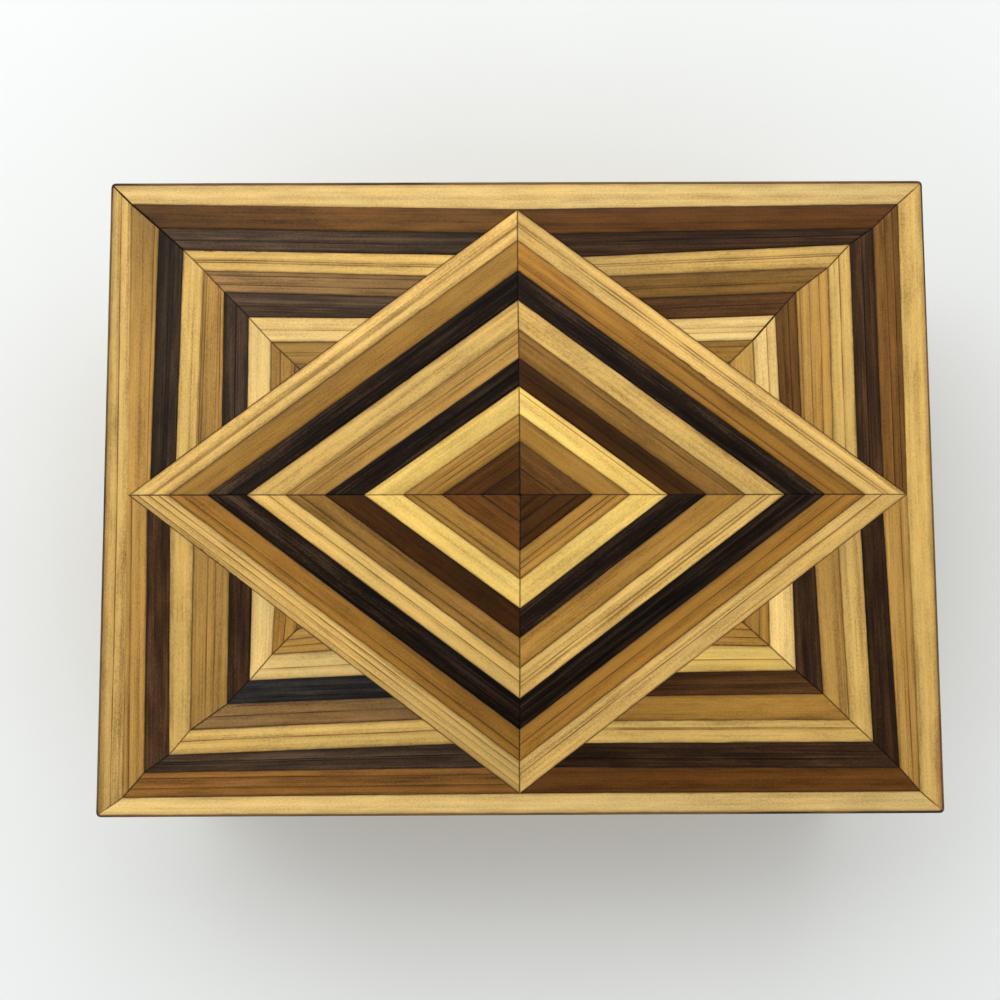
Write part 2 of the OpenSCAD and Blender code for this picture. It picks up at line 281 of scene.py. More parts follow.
@dataclass(frozen=True)
class WoodFinish:
    """A varnished wood: its colour, how lively its grain is and how it shines.

    Attributes:
        name: The name of its material.
        tone: Its middle colour.
        vein: The colour of its growth lines and of the darkest grain.
        slot: The material slot that it belongs to.
        ring_mm: About how far apart its growth rings lie.
        rings: How strong they are.
        figure: How strong the broad bands of the grain are.
        smear: How strong the smoky patches are.
        fibre: How strong the fine fibres are.
        sand: How strong the sandy speckle is.
        lift: How much lighter than the middle colour the lightest grain is.
        pores: How strong the short dark pores are.
        warmth: How far its patches drift to a redder or a greener brown.
        rust: The colour of the wear on the rim beside the lid's front right corner, if it has any.
        shine: How much the varnish mirrors.
        roughness: How dull it is.
    """

    name: str
    tone: str
    vein: str
    slot: str
    ring_mm: float = 1.7
    rings: float = 0.25
    figure: float = 0.55
    smear: float = 0.25
    fibre: float = 0.4
    sand: float = 0.4
    lift: float = 0.3
    pores: float = 0.2
    warmth: float = 0.08
    rust: str | None = None
    shine: float = 0.12
    roughness: float = 0.38

    # Where its middle colour lies between the darkest and the lightest grain
    middle_at = 0.56
    # Where the wear on the rim lies, and how far it reaches, where the wood has any
    wear_at_mm = (88.0, -59.0, 61.5)
    wear_reach_mm = (2.0, 13.0, 3.0)

    @cache
    def on_strip(self) -> bpy.types.Material:
        """Makes the finish of a laid strip, which follows the strip's own grain and edges.

        Returns:
            The material.
        """
        pen = FinishPen(self.name)
        place = pen.painted("grain_mm")
        across, end_mm, side_mm = pen.split(pen.painted("strip_spot"))
        shade, width_mm, rim = pen.split(pen.painted("strip_tuning"))
        marks = self._growth_lines(pen, place, across, width_mm)
        smoky = pen.streaks(place, 7.0, 3.0, 3.0)
        outer_mm = pen.total(pen.times(across, width_mm), pen.swing(smoky, 0.7))

        rubbed = pen.swing(pen.streaks(place, 4.0, 1.0, 3.0), 0.3)
        side = pen.times(pen.fade(pen.total(side_mm, rubbed), 0.0, 0.3), 0.6)
        worn = pen.swing(pen.streaks(place, 1.2, 0.9, 2.0), 0.1)
        rubbed_shut = pen.times(pen.fade(outer_mm, 0.5, 2.2), rim)
        end = pen.times(pen.fade(pen.total(end_mm, worn), 0.02, 0.24), 0.75,
                        pen.rest(rubbed_shut))
        clot = pen.times(pen.fade(pen.streaks(place, 1.8, 0.7), 0.6, 0.52),
                         pen.fade(pen.streaks(place, 60.0, 6.0), 0.68, 0.6),
                         pen.fade(side_mm, 0.08, 0.34))
        edge = pen.most(side, end, clot)

        # Darker brown near the long sides and the border's free outer edge: painted shade of the
        # strips' rounded edges, together with old finish.
        on_side = pen.times(pen.fade(pen.total(side_mm, pen.swing(smoky, 0.9)), -0.1, 0.9), 0.4)
        rim_shade_and_patina = pen.times(pen.fade(outer_mm, 0.0, 1.2), rim, 0.6)
        wear = self._rim_wear(pen) if self.rust else 0.0
        self._paint(pen, place, shade, marks, edge, pen.most(on_side, rim_shade_and_patina), wear)
        return pen.material

    @cache
    def on_board(self, grain: Grain) -> bpy.types.Material:
        """Makes the finish of a board, whose grain lies in the object's own coordinates.

        Args:
            grain: Which way the grain runs.

        Returns:
            The material.
        """
        pen = FinishPen(f"{self.name}_{grain.name.lower()}")
        parts = pen.split(pen.place_mm())
        self._paint(pen, pen.combine(*(parts[i] for i in grain.value)))
        return pen.material

    def _growth_lines(self, pen: FinishPen, place: Socket, across: Socket,
                      width_mm: Socket) -> Socket:
        """Draws a strip's own dark growth lines, each with a soft shadow on its outer side.

        Args:
            pen: Writes the nodes.
            place: The place on the wood in millimetres.
            across: How far across the strip the place lies, from 0 to 1.
            width_mm: The strip's width there.

        Returns:
            How strong a line is at the place.
        """
        wander = pen.swing(pen.streaks(place, 45.0, 8.0), 0.06)
        strength = pen.fade(pen.streaks(place, 16.0, 6.0), 0.62, 0.36)
        marks = []
        for line in pen.split(pen.painted("growth_lines")):
            off_mm = pen.times(pen.math("SUBTRACT", pen.total(across, wander), line), width_mm)
            far_mm = pen.math("ABSOLUTE", off_mm)
            shadow = pen.times(pen.math("LESS_THAN", off_mm, 0.0), pen.fade(far_mm, 0.0, 0.9), 0.3)
            marks += [pen.fade(far_mm, 0.04, 0.2), shadow]
        return pen.times(pen.most(*marks), pen.math("MULTIPLY_ADD", strength, 0.45, 0.5))

    def _rim_wear(self, pen: FinishPen) -> Socket:
        """Finds the mottled wear on the rim beside the lid's front right corner.

        Args:
            pen: Writes the nodes.

        Returns:
            How strong the wear is, from 0 to 1.
        """
        place = pen.place_mm()
        off = pen.vector("DIVIDE", pen.way(self.wear_at_mm, place), self.wear_reach_mm)
        mottled = pen.swing(pen.streaks(place, 0.5, 0.5, 4.0), 1.1)
        return pen.times(pen.fade(pen.total(pen.vector("LENGTH", off), mottled), 0.1, 1.2), 0.6)

    def _paint(self, pen: FinishPen, place: Socket, shade: Value = 0.0, marks: Value = 0.0,
               edge: Value = 0.0, shade_and_patina: Value = 0.0, wear: Value = 0.0) -> None:
        """Paints the grain and fills the surface shader.

        Args:
            pen: Writes the nodes.
            place: The place on the wood in millimetres, whose X runs along the grain.
            shade: How much lighter or darker this piece is.
            marks: How strong a drawn growth line is.
            edge: How much dark glue and finish lies in the edge.
            shade_and_patina: How much darker brown lies near the edge: painted shade of the rounded
                edges, with old finish.
            wear: How far the finish is worn to rust.
        """
        band = pen.streaks(place, 150.0, 1.6, 3.0)
        fibre = pen.streaks(place, 18.0, 0.34, 3.0)
        sand = pen.streaks(place, 0.5, 0.3)
        smear = pen.streaks(place, 11.0, 2.0, 4.0)
        cloud = pen.streaks(place, 26.0, 9.0)
        pore = pen.fade(pen.streaks(place, 5.0, 0.25, 1.0), 0.72, 0.62)
        _, y, z = pen.split(place)
        phase = pen.total(pen.math("DIVIDE", pen.total(y, pen.times(z, 0.4)), self.ring_mm),
                          pen.swing(pen.streaks(place, 130.0, 3.5), 1.6))
        late = pen.times(pen.math("POWER", pen.math("FRACT", phase), 5.0),
                         pen.fade(pen.streaks(place, 55.0, 2.6, 3.0), 0.68, 0.4))

        tone = pen.total(self.middle_at, pen.swing(band, self.figure),
                         pen.swing(fibre, self.fibre), pen.swing(sand, self.sand),
                         pen.swing(smear, self.smear), pen.swing(cloud, 0.25),
                         pen.times(late, -self.rings))
        middle = linear_colour(self.tone)
        dark = linear_colour(self.vein)
        ramp = pen.add("ShaderNodeValToRGB", {0: tone})
        stops = ramp.color_ramp.elements
        stops.new(self.middle_at)
        for stop, colour in zip(stops, (middle.lerp(dark, 0.8), middle, middle * (1 + self.lift))):
            stop.color = (*colour, 1.0)
        warm = pen.swing(pen.streaks(place, 22.0, 3.0, 3.0), self.warmth)
        hue = pen.combine(pen.total(warm, 1.0), 1.0, pen.math("MULTIPLY_ADD", warm, -1.4, 1.0))
        colour = pen.vector("MULTIPLY", ramp.outputs[0], hue)
        colour = pen.blend_colour(pen.times(pore, self.pores), colour, dark)
        # Painted shade of the rounded edges, with old finish, darkens the colour near the edge.
        colour = pen.blend_colour(shade_and_patina, colour, middle.lerp(dark, 0.75))
        if self.rust:
            colour = pen.blend_colour(wear, colour, linear_colour(self.rust))
        colour = pen.blend_colour(marks, colour, dark)
        colour = pen.blend_colour(edge, colour, dark * 0.6)

        relief = pen.total(pen.swing(fibre, 0.01), pen.swing(sand, 0.006),
                           pen.times(marks, -0.03), pen.times(late, -0.006),
                           pen.times(edge, -0.03), pen.times(pore, -0.01))
        dull = pen.total(self.roughness, pen.swing(fibre, 0.1), pen.swing(cloud, 0.1))
        pen.fill({"Base Color": pen.scaled(colour, pen.total(shade, 1.0)), "Roughness": dull,
                  "Specular IOR Level": self.shine, "Normal": pen.bump(0.8, relief)})


class Wood(Enum):
    """The woods of the strips, roughly from the lightest to the darkest."""

    BLOND = WoodFinish("blond_strip", "E0BD76", "906A34", "light_wood", rings=0.15, figure=0.5,
                       smear=0.35, fibre=0.22, sand=0.4, pores=0.05)
    CREAM = WoodFinish("cream_strip", "E1BD66", "99702E", "light_wood", rings=0.15, figure=0.5,
                       smear=0.35, fibre=0.22, sand=0.4, pores=0.05)
    PALE = WoodFinish("pale_strip", "CEA85E", "6F4C1E", "light_wood", rings=0.3, figure=0.6,
                      smear=0.4, fibre=0.25, pores=0.05, rust="A8603A")
    STRAW = WoodFinish("straw_strip", "CBA55E", "6A471C", "light_wood", ring_mm=1.5, rings=0.4,
                       smear=0.4, fibre=0.3, pores=0.1)
    OAT = WoodFinish("oat_strip", "AE8543", "65431A", "tan_wood", ring_mm=1.2, rings=0.45,
                     figure=0.7)
    HONEY = WoodFinish("honey_strip", "A27734", "573614", "tan_wood", smear=0.4)
    AMBER = WoodFinish("amber_strip", "9A6C2B", "503010", "tan_wood", smear=0.45)
    HAZEL = WoodFinish("hazel_strip", "87612B", "3E290F", "tan_wood", ring_mm=1.4, rings=0.35,
                       smear=0.45, lift=0.4)
    ELM = WoodFinish("elm_strip", "8B693F", "432D16", "tan_wood", ring_mm=1.3, rings=0.45,
                     smear=0.55, lift=0.4)
    WALNUT = WoodFinish("walnut_strip", "6E491F", "2F1B08", "brown_wood", smear=0.6, lift=0.45)
    TEAK = WoodFinish("teak_strip", "603A13", "2A1606", "brown_wood", smear=0.55, lift=0.45)
    CHESTNUT = WoodFinish("chestnut_strip", "754F22", "341D0A", "brown_wood", figure=0.9,
                          smear=0.5, lift=0.45)
    RUSSET = WoodFinish("russet_strip", "4B2D0F", "201006", "brown_wood", smear=0.5, lift=0.6,
                        shine=0.08)
    MAHOGANY = WoodFinish("mahogany_strip", "56371B", "251309", "dark_wood", figure=0.7,
                          smear=0.5, fibre=0.55, lift=0.7, shine=0.08)
    # A greyer dark brown; at the lid's upper left its grey cast is partly a painted sheen.
    UMBER = WoodFinish("umber_strip", "493829", "1C130C", "dark_wood", figure=0.8, smear=0.6,
                       fibre=0.65, lift=0.9, shine=0.08)
    COCOA = WoodFinish("cocoa_strip", "3A2616", "150A05", "dark_wood", figure=0.7, smear=0.6,
                       fibre=0.65, lift=1.2, shine=0.08)
    INK = WoodFinish("ink_strip", "2C2926", "0E0D0D", "black_wood", figure=0.8, smear=0.6,
                     fibre=0.65, lift=0.9, shine=0.08)
    EBONY = WoodFinish("ebony_strip", "1B120B", "050302", "black_wood", figure=0.9, smear=0.6,
                       fibre=0.9, lift=2.6, shine=0.06)


# Softwood of the boards, and the same wood where glue and stain have soaked into it
BOARD = WoodFinish("board_wood", "A07A4C", "6A4524", "board_wood", ring_mm=2.6, rings=0.4,
                   figure=0.5, roughness=0.6)
GLUED = WoodFinish("glued_wood", "3A2614", "1C1008", "board_wood", roughness=0.7)


@dataclass(frozen=True)
class StainedEdge:
    """Dark stain on the thin edge banding, rubbed lighter along its arris.

    Attributes:
        name: The name of its material.
        stain: Its colour.
        rubbed: The colour of the wood where the stain is rubbed off.
        shine: How much it mirrors.
        roughness: How dull it is.
    """

    name: str = "stained_edge"
    stain: str = "33291C"
    rubbed: str = "75583A"
    shine: float = 0.1
    roughness: float = 0.42

    @cache
    def material(self) -> bpy.types.Material:
        """Makes the finish.

        Returns:
            The material.
        """
        pen = FinishPen(self.name)
        x, y, z = pen.split(pen.place_mm())
        out_x, out_y, _ = (pen.math("ABSOLUTE", part) for part in pen.split(
            pen.add("ShaderNodeNewGeometry").outputs["True Normal"]))
        on_side = pen.math("GREATER_THAN", out_x, out_y)
        place = pen.blend_place(on_side, pen.combine(x, y, z), pen.combine(y, x, z))
        cloud = pen.streaks(place, 24.0, 3.0, 3.0)
        grain = pen.streaks(place, 14.0, 0.35, 4.0)
        worn = pen.total(pen.painted("wear", "Fac"), pen.swing(cloud, 0.9), pen.swing(grain, 0.4))
        stain = linear_colour(self.stain)
        mixed = pen.total(0.5, pen.swing(grain, 0.9), pen.swing(cloud, 0.7))
        colour = pen.blend_colour(mixed, stain * 0.45, stain * 1.7)
        colour = pen.blend_colour(pen.fade(worn, 1.0, 0.35), colour, linear_colour(self.rubbed))
        pen.fill({"Base Color": colour, "Specular IOR Level": self.shine,
                  "Roughness": pen.total(self.roughness, pen.swing(cloud, 0.15)),
                  "Normal": pen.bump(0.6, pen.swing(grain, 0.02))})
        return pen.material


@dataclass(frozen=True)
class BrassFinish:
    """Brushed brass with a little tarnish, and the slots of its screws darker with old dirt and
    painted shade.

    Attributes:
        name: The name of its material.
        bright: The colour of the clean brass.
        tarnish: The colour of its tarnish.
        soil: The colour of the dirt and painted shade in the slots.
        roughness: How dull it is.
    """

    name: str = "brushed_brass"
    bright: str = "D9B262"
    tarnish: str = "A87E40"
    soil: str = "2A1C0C"
    roughness: float = 0.3

    @cache
    def material(self) -> bpy.types.Material:
        """Makes the finish.

        Returns:
            The material.
        """
        pen = FinishPen(self.name)
        place = pen.place_mm()
        brushed = pen.streaks(place, 9.0, 0.1, 2.0)
        cloud = pen.total(pen.streaks(place, 6.0, 4.0, 5.0), pen.swing(brushed, 0.15))
        dirt = pen.fade(cloud, 0.8, 0.3)
        # Dirt and painted shade: darker and duller with depth in the screws' slots.
        dirtied_and_shaded = pen.painted("soil", "Fac")
        colour = pen.blend_colour(dirt, linear_colour(self.bright), linear_colour(self.tarnish))
        dull = pen.total(self.roughness, pen.swing(brushed, 0.12), pen.times(dirt, 0.1),
                         pen.times(dirtied_and_shaded, 0.4))
        pen.fill({"Base Color": pen.blend_colour(dirtied_and_shaded, colour, linear_colour(self.soil)),
                  "Metallic": 1.0, "Roughness": dull,
                  "Normal": pen.bump(0.5, pen.swing(brushed, 0.01))})
        return pen.material


@dataclass(frozen=True)
class FeltFinish:
    """Pressed wool felt with a short fuzz.

    Attributes:
        name: The name of its material.
        deep: Its colour between the hairs.
        fuzz: The colour of the hairs on top.
        sheen: The colour that it shows at a low angle.
    """

    name: str = "wine_felt"
    deep: str = "4C0F12"
    fuzz: str = "96362F"
    sheen: tuple[float, ...] = (0.8, 0.32, 0.26, 1.0)

    @cache
    def material(self) -> bpy.types.Material:
        """Makes the finish.

        Returns:
            The material.
        """
        pen = FinishPen(self.name)
        place = pen.place_mm()
        tangle = pen.add("ShaderNodeTexNoise", {"Vector": place, "Scale": 0.5}).outputs["Color"]
        bent = pen.vector("ADD", place, pen.scaled(tangle, 4.0))
        hairs = pen.streaks(bent, 1.8, 0.12, 3.0)
        tufts = pen.streaks(bent, 0.5, 0.5, 3.0)
        cloud = pen.streaks(place, 16.0, 16.0)
        tone = pen.total(0.3, pen.swing(hairs, 0.9), pen.swing(tufts, 0.6), pen.swing(cloud, 0.2))
        relief = pen.total(pen.swing(hairs, 0.12), pen.swing(tufts, 0.1))
        pen.fill({
            "Base Color": pen.blend_colour(tone, linear_colour(self.deep), linear_colour(self.fuzz)),
            "Roughness": pen.total(0.92, pen.swing(tufts, 0.08)), "Sheen Weight": 0.25,
            "Sheen Tint": self.sheen, "Sheen Roughness": 0.5, "Normal": pen.bump(0.8, relief)})
        return pen.material


def linked(name: str, data: bpy.types.ID) -> bpy.types.Object:
    """Puts a mesh, a lamp or a camera into the scene.

    Args:
        name: The object's name.
        data: What the object holds.

    Returns:
        The object.
    """
    thing = bpy.data.objects.new(name, data)
    bpy.context.scene.collection.objects.link(thing)
    return thing


def finished(model: bmesh.types.BMesh, name: str, *materials: bpy.types.Material,
             sharp_deg: float) -> bpy.types.Object:
    """Turns a form into a piece and frees it.

    Args:
        model: The form.
        name: The piece's name.
        *materials: Its finishes.
        sharp_deg: The angle past which an edge stays sharp, in degrees.

    Returns:
        The piece.
    """
    mesh = bpy.data.meshes.new(name)
    model.to_mesh(mesh)
    model.free()
    mesh.set_sharp_from_angle(angle=math.radians(sharp_deg))
    for material in materials:
        mesh.materials.append(material)
    return linked(name, mesh)


def new_tree(name: str, inputs: dict[str, str]) -> tuple[NodePen, Sequence[Socket]]:
    """Starts a Geometry Nodes tree that makes one piece.

    Args:
        name: The tree's name.
        inputs: The kind of each input, by its name.

    Returns:
        A pen for the tree, and what it is given.
    """
    tree = bpy.data.node_groups.new(name, "GeometryNodeTree")
    for title, kind in inputs.items():
        tree.interface.new_socket(title, in_out="INPUT", socket_type=f"NodeSocket{kind}")
    tree.interface.new_socket("Piece", in_out="OUTPUT", socket_type="NodeSocketGeometry")
    pen = NodePen(tree)
    return pen, pen.add("NodeGroupInput").outputs


def carried(pen: NodePen, name: str) -> Socket:
    """Reads a vector that the points of a plan carry."""
    return pen.add("GeometryNodeInputNamedAttribute", {"Name": name},
                   data_type="FLOAT_VECTOR").outputs[0]


def grown(tree: bpy.types.NodeTree, name: str, places: Sequence[Sequence[float]],
          vectors: dict[str, list[Sequence[float]]],
          inputs: dict[str, object]) -> bpy.types.Object:
    """Runs a Geometry Nodes tree on a plan of loose points.

    Args:
        tree: The tree.
        name: The name of the piece that it makes.
        places: The points of the plan.
        vectors: What the points carry, by the attribute's name.
        inputs: The tree's other inputs, by their names.

    Returns:
        The piece, a plain mesh.
    """
    plan = bpy.data.meshes.new(f"{name}_plan")
    plan.from_pydata(places, [], [])
    for key, row in vectors.items():
        layer = plan.attributes.new(key, "FLOAT_VECTOR", "POINT")
        layer.data.foreach_set("vector", [part for vector in row for part in vector])
    source = linked(plan.name, plan)
    modifier = source.modifiers.new("grow", "NODES")
    modifier.node_group = tree
    for key, value in inputs.items():
        modifier[tree.interface.items_tree[key].identifier] = value
    return plain_mesh(source, name)


def plain_mesh(source: bpy.types.Object, name: str) -> bpy.types.Object:
    """Turns an object and its live modifiers into a plain piece, and removes the source.

    Args:
        source: The object with its modifiers.
        name: The new piece's name.

    Returns:
        The piece, with only the material slots that its faces use.
    """
    graph = bpy.context.evaluated_depsgraph_get()
    mesh = bpy.data.meshes.new_from_object(source.evaluated_get(graph),
                                           preserve_all_data_layers=True, depsgraph=graph)
    used = sorted({polygon.material_index for polygon in mesh.polygons})
    materials = [mesh.materials[i] for i in used]
    indices = [used.index(polygon.material_index) for polygon in mesh.polygons]
    mesh.materials.clear()
    for material in materials:
        mesh.materials.append(material)
    mesh.polygons.foreach_set("material_index", indices)
    mesh.name = name
    bpy.data.objects.remove(source)
    return linked(name, mesh)


def box_corners(node: str) -> list[Vector]:
    """Gives the corners of a node's box seen from above, clockwise from the top left."""
    lo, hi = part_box(node)
    return [Vector((x, y, 0)) for x, y in ((lo.x, hi.y), (hi.x, hi.y), (hi.x, lo.y), (lo.x, lo.y))]


def dress(piece: bpy.types.Object, body: str, slot: str, *nodes: str) -> bpy.types.Object:
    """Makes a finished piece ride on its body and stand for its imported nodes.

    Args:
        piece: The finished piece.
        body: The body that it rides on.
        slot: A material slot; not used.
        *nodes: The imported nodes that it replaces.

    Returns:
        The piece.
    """
    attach(piece, body)
    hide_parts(*nodes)
    LOG.info("%s: %d faces, on %s", piece.name, len(piece.data.polygons), body)
    return piece


@dataclass(frozen=True)
class Cut:
    """What a strip is cut from: its wood, its growth lines and how light the piece is.

    Attributes:
        wood: The wood.
        lines: How far across the strip each growth line lies, from its outer edge.
        shade: How much lighter than the middle of its wood it is, as a share.
        tilt: How much lighter its inner edge is than its outer one.
        ends: How much lighter its first and its second end are than its middle: partly the wood's own
            tone, partly painted light and sheen that fall unevenly across the lid.
    """

    wood: Wood
    lines: tuple[float, ...] = ()
    shade: float = 0.0
    tilt: float = 0.0
    ends: Pair = (0.0, 0.0)


def cut(wood: Wood, *lines: float, shade: float = 0.0, tilt: float = 0.0,
        ends: Pair = (0.0, 0.0)) -> Cut:
    """Writes a cut in short.

    Args:
        wood: The wood.
        *lines: How far across the strip each growth line lies.
        shade: How much lighter the piece is, as a share.
        tilt: How much lighter its inner edge is than its outer one.
        ends: How much lighter its first and its second end are than its middle: partly the wood's own
            tone, partly painted light and sheen.

    Returns:
        The cut.
    """
    return Cut(wood, lines, shade, tilt, ends)


@dataclass
class Strip:
    """One laid strip, by the corners of its face before the joints are taken off.

    Attributes:
        outer: The two ends of its outer edge.
        inner: The two ends of its inner edge, next to those of the outer one.
        up: The direction that its face looks in.
        cut: What it is cut from.
        kink: How far the middle of its inner edge is bent inwards.
        open_ends: How far its two ends stand back where a joint gapes.
        free_side: Whether its outer edge is free, with no joint along it.
    """

    outer: tuple[Vector, Vector]
    inner: tuple[Vector, Vector]
    up: Vector
    cut: Cut
    kink: float = 0.0
    open_ends: Pair = (0.0, 0.0)
    free_side: bool = False

    @property
    def runs_backwards(self) -> bool:
        """Whether its ends change places, so that its outer edge, its end and up are right-handed."""
        start = self.outer[0]
        return (self.outer[1] - start).cross(self.inner[0] - start).dot(self.up) < 0

    def corners(self, chance: random.Random, side_gaps: Pair, end_gaps: Pair) -> list[Vector]:
        """Takes half of each joint off the strip.

        Args:
            chance: Draws the widths of the joints.
            side_gaps: The least and the most that comes off a long side.
            end_gaps: The least and the most that comes off an end.

        Returns:
            The four corners, so that the first edge, the last edge and up are right-handed.
        """
        loop = [*self.outer, *reversed(self.inner)]
        first_gape, second_gape = self.open_ends
        if self.runs_backwards:
            loop = [loop[i] for i in (1, 0, 3, 2)]
            first_gape, second_gape = second_gape, first_gape
        gaps = [0.0 if self.free_side else chance.uniform(*side_gaps),
                second_gape + chance.uniform(*end_gaps),
                chance.uniform(*side_gaps),
                first_gape + chance.uniform(*end_gaps)]
        moved = []
        for i in range(4):
            before = (loop[i] - loop[i - 1]).normalized()
            after = (loop[(i + 1) % 4] - loop[i]).normalized()
            into_before = self.up.cross(before) * gaps[i - 1]
            inwards = self.up.cross(after)
            slide = (inwards * gaps[i] - into_before).dot(inwards) / before.dot(inwards)
            moved.append(loop[i] + into_before + before * slide)
        return moved


@dataclass
class StripLayer:
    """Lays strips: one Geometry Nodes tree bends a plank to each strip's corners.

    Attributes:
        thickness: The strips' thickness.
        crown: How much lower a strip's long edges lie than its middle.
        arris: How far the sanded edges drop.
        arris_w: How far in from the edges they begin to drop.
        wander: How far the edges wander from straight.
        waves: How many times to a metre they do.
        rows_along: Rows of faces along a strip, an even number.
        rows_across: Rows of faces across a strip, an even number.
        side_gaps: The least and the most that a joint takes off a long side.
        end_gaps: The least and the most that it takes off an end.
        drop_mm: The most that a whole strip lies low.
        log_mm: How large the log is that the strips are cut from.
        uneven_shade: How far a strip's shade may lie from its cut's.
        sharp_deg: The angle past which an edge stays sharp, in degrees.
        seed: Fixes the widths of the joints and the place of each strip in its wood.
        chance: Draws from the seed.
        tree: The tree that bends the planks.
    """

    thickness: float = 1.5 * MM
    crown: float = 0.05 * MM
    arris: float = 0.035 * MM
    arris_w: float = 0.25 * MM
    wander: float = 0.16 * MM
    waves: float = 55.0
    rows_along: int = 28
    rows_across: int = 8
    side_gaps: Pair = (0.005 * MM, 0.035 * MM)
    end_gaps: Pair = (0.01 * MM, 0.05 * MM)
    drop_mm: float = 0.03
    log_mm: float = 900
    uneven_shade: float = 0.025
    sharp_deg: float = 40
    seed: int = 11
    chance: random.Random = field(init=False)
    tree: bpy.types.NodeTree = field(init=False)

    # Attributes that only the tree needs
    scaffold = ("plank", "corner_a", "corner_b", "corner_c", "corner_d", "strip_up",
                "strip_ends", "grain_shift", "strip_numbers")

    def __post_init__(self) -> None:
        """Draws from the seed and builds the tree once."""
        self.chance = random.Random(self.seed)
        self.tree = self._build_tree()

    def lay(self, name: str, strips: Sequence[Strip]) -> bpy.types.Object:
        """Lays several strips as one piece.

        Args:
            name: The piece's name.
            strips: The strips.

        Returns:
            The piece, a plain mesh.
        """
        rows = [self._row(strip) for strip in strips]
        vectors = {key: [row[key] for row in rows] for key in rows[0]}
        piece = grown(self.tree, name, [Vector()] * len(strips), vectors, self._inputs())
        for key in self.scaffold:
            piece.data.attributes.remove(piece.data.attributes[key])
        return piece

    def _row(self, strip: Strip) -> dict[str, Sequence[float]]:
        """Writes down a strip as vectors.

        Args:
            strip: The strip.

        Returns:
            The vectors, by the name of the attribute that keeps them.
        """
        piece = strip.cut
        corners = strip.corners(self.chance, self.side_gaps, self.end_gaps)
        drop = self.chance.uniform(0, self.drop_mm) * MM
        shift = [self.chance.uniform(0, self.log_mm) for _ in range(3)]
        shade = piece.shade + self.chance.uniform(-self.uneven_shade, self.uneven_shade)
        ends = piece.ends[::-1] if strip.runs_backwards else piece.ends
        return dict(zip(self.scaffold[1:5], corners)) | {
            "strip_up": strip.up,
            "strip_ends": (*ends, 0.0),
            "grain_shift": shift,
            "strip_numbers": (list(Wood).index(piece.wood), strip.kink, drop),
            "growth_lines": (*piece.lines, -1.0, -1.0, -1.0)[:3],
            "strip_tuning": (shade, piece.tilt, float(strip.free_side))}

    def _inputs(self) -> dict[str, object]:
        """Gives the tree's inputs by name."""
        sizes = {"Thickness": self.thickness, "Crown": self.crown, "Arris drop": self.arris,
                 "Arris width": self.arris_w, "Wander": self.wander, "Waves": self.waves,
                 "Rows along": self.rows_along, "Rows across": self.rows_across}
        return sizes | {wood.value.name: wood.value.on_strip() for wood in Wood}

    def _build_tree(self) -> bpy.types.NodeTree:
        """Builds the tree that bends planks to the strips' corners.

        Returns:
            The tree.
        """
        kinds = {float: "Float", int: "Int", bpy.types.Material: "Material"}
        inputs = {name: kinds[type(value)] for name, value in self._inputs().items()}
        pen, given = new_tree("laid_strips", {"Plan": "Geometry"} | inputs)
        laid, turn = self._bend(pen, given, self._planks(pen, given))
        laid = self._mark(pen, laid, turn)
        pen.add("NodeGroupOutput", {0: self._finish(pen, given, laid)})
        return pen.tree

    def _stored(self, pen: NodePen, geometry: Socket, name: str, value: Socket) -> Socket:
        """Keeps a vector on the points of the geometry.

        Args:
            pen: Writes the nodes.
            geometry: The geometry.
            name: The attribute's name.
            value: The vector.

        Returns:
            The geometry with the attribute.
        """
        return pen.add("GeometryNodeStoreNamedAttribute",
                       {"Geometry": geometry, "Name": name, "Value": value},
                       data_type="FLOAT_VECTOR", domain="POINT").outputs[0]

    def _planks(self, pen: NodePen, given: Sequence[Socket]) -> Socket:
        """Puts one plank of fixed rows on each point of the plan.

        Args:
            pen: Writes the nodes.
            given: The tree's inputs.

        Returns:
            The planks.
        """
        cube = pen.add("GeometryNodeMeshCube", {
            "Size": (1, 1, 1), "Vertices X": pen.total(given["Rows along"], 1),
            "Vertices Y": pen.total(given["Rows across"], 1), "Vertices Z": 2})
        corner = pen.vector("ADD", pen.add("GeometryNodeInputPosition").outputs[0],
                            (0.5, 0.5, 0.5))
        plank = self._stored(pen, cube.outputs[0], "plank", corner)
        placed = pen.add("GeometryNodeInstanceOnPoints", {"Points": given["Plan"],
                                                          "Instance": plank})
        return pen.add("GeometryNodeRealizeInstances", {0: placed.outputs[0]}).outputs[0]

    def _bend(self, pen: NodePen, given: Sequence[Socket],
              laid: Socket) -> tuple[Socket, dict[str, Socket]]:
        """Bends the planks to the strips' corners, with crowned faces and sanded edges.

        Args:
            pen: Writes the nodes.
            given: The tree's inputs.
            laid: The planks.

        Returns:
            The strips, and the directions and distances at each of their points.
        """
        along_row, across_row, top = pen.split(carried(pen, "plank"))
        u = self._closer_at_ends(pen, along_row)
        v = self._closer_at_ends(pen, across_row)
        a, b, c, d = (carried(pen, f"corner_{letter}") for letter in "abcd")
        up = carried(pen, "strip_up")
        _, kink, drop = pen.split(carried(pen, "strip_numbers"))
        along = pen.vector("NORMALIZE", pen.way(a, b))
        across = pen.vector("CROSS_PRODUCT", up, along)

        bend = pen.rest(pen.math("ABSOLUTE", pen.off_middle(u)))
        bow = pen.scaled(across, pen.times(bend, kink))
        outer = pen.blend_place(u, a, b)
        inner = pen.vector("ADD", pen.blend_place(u, d, c), bow)
        flat = pen.blend_place(v, outer, inner)

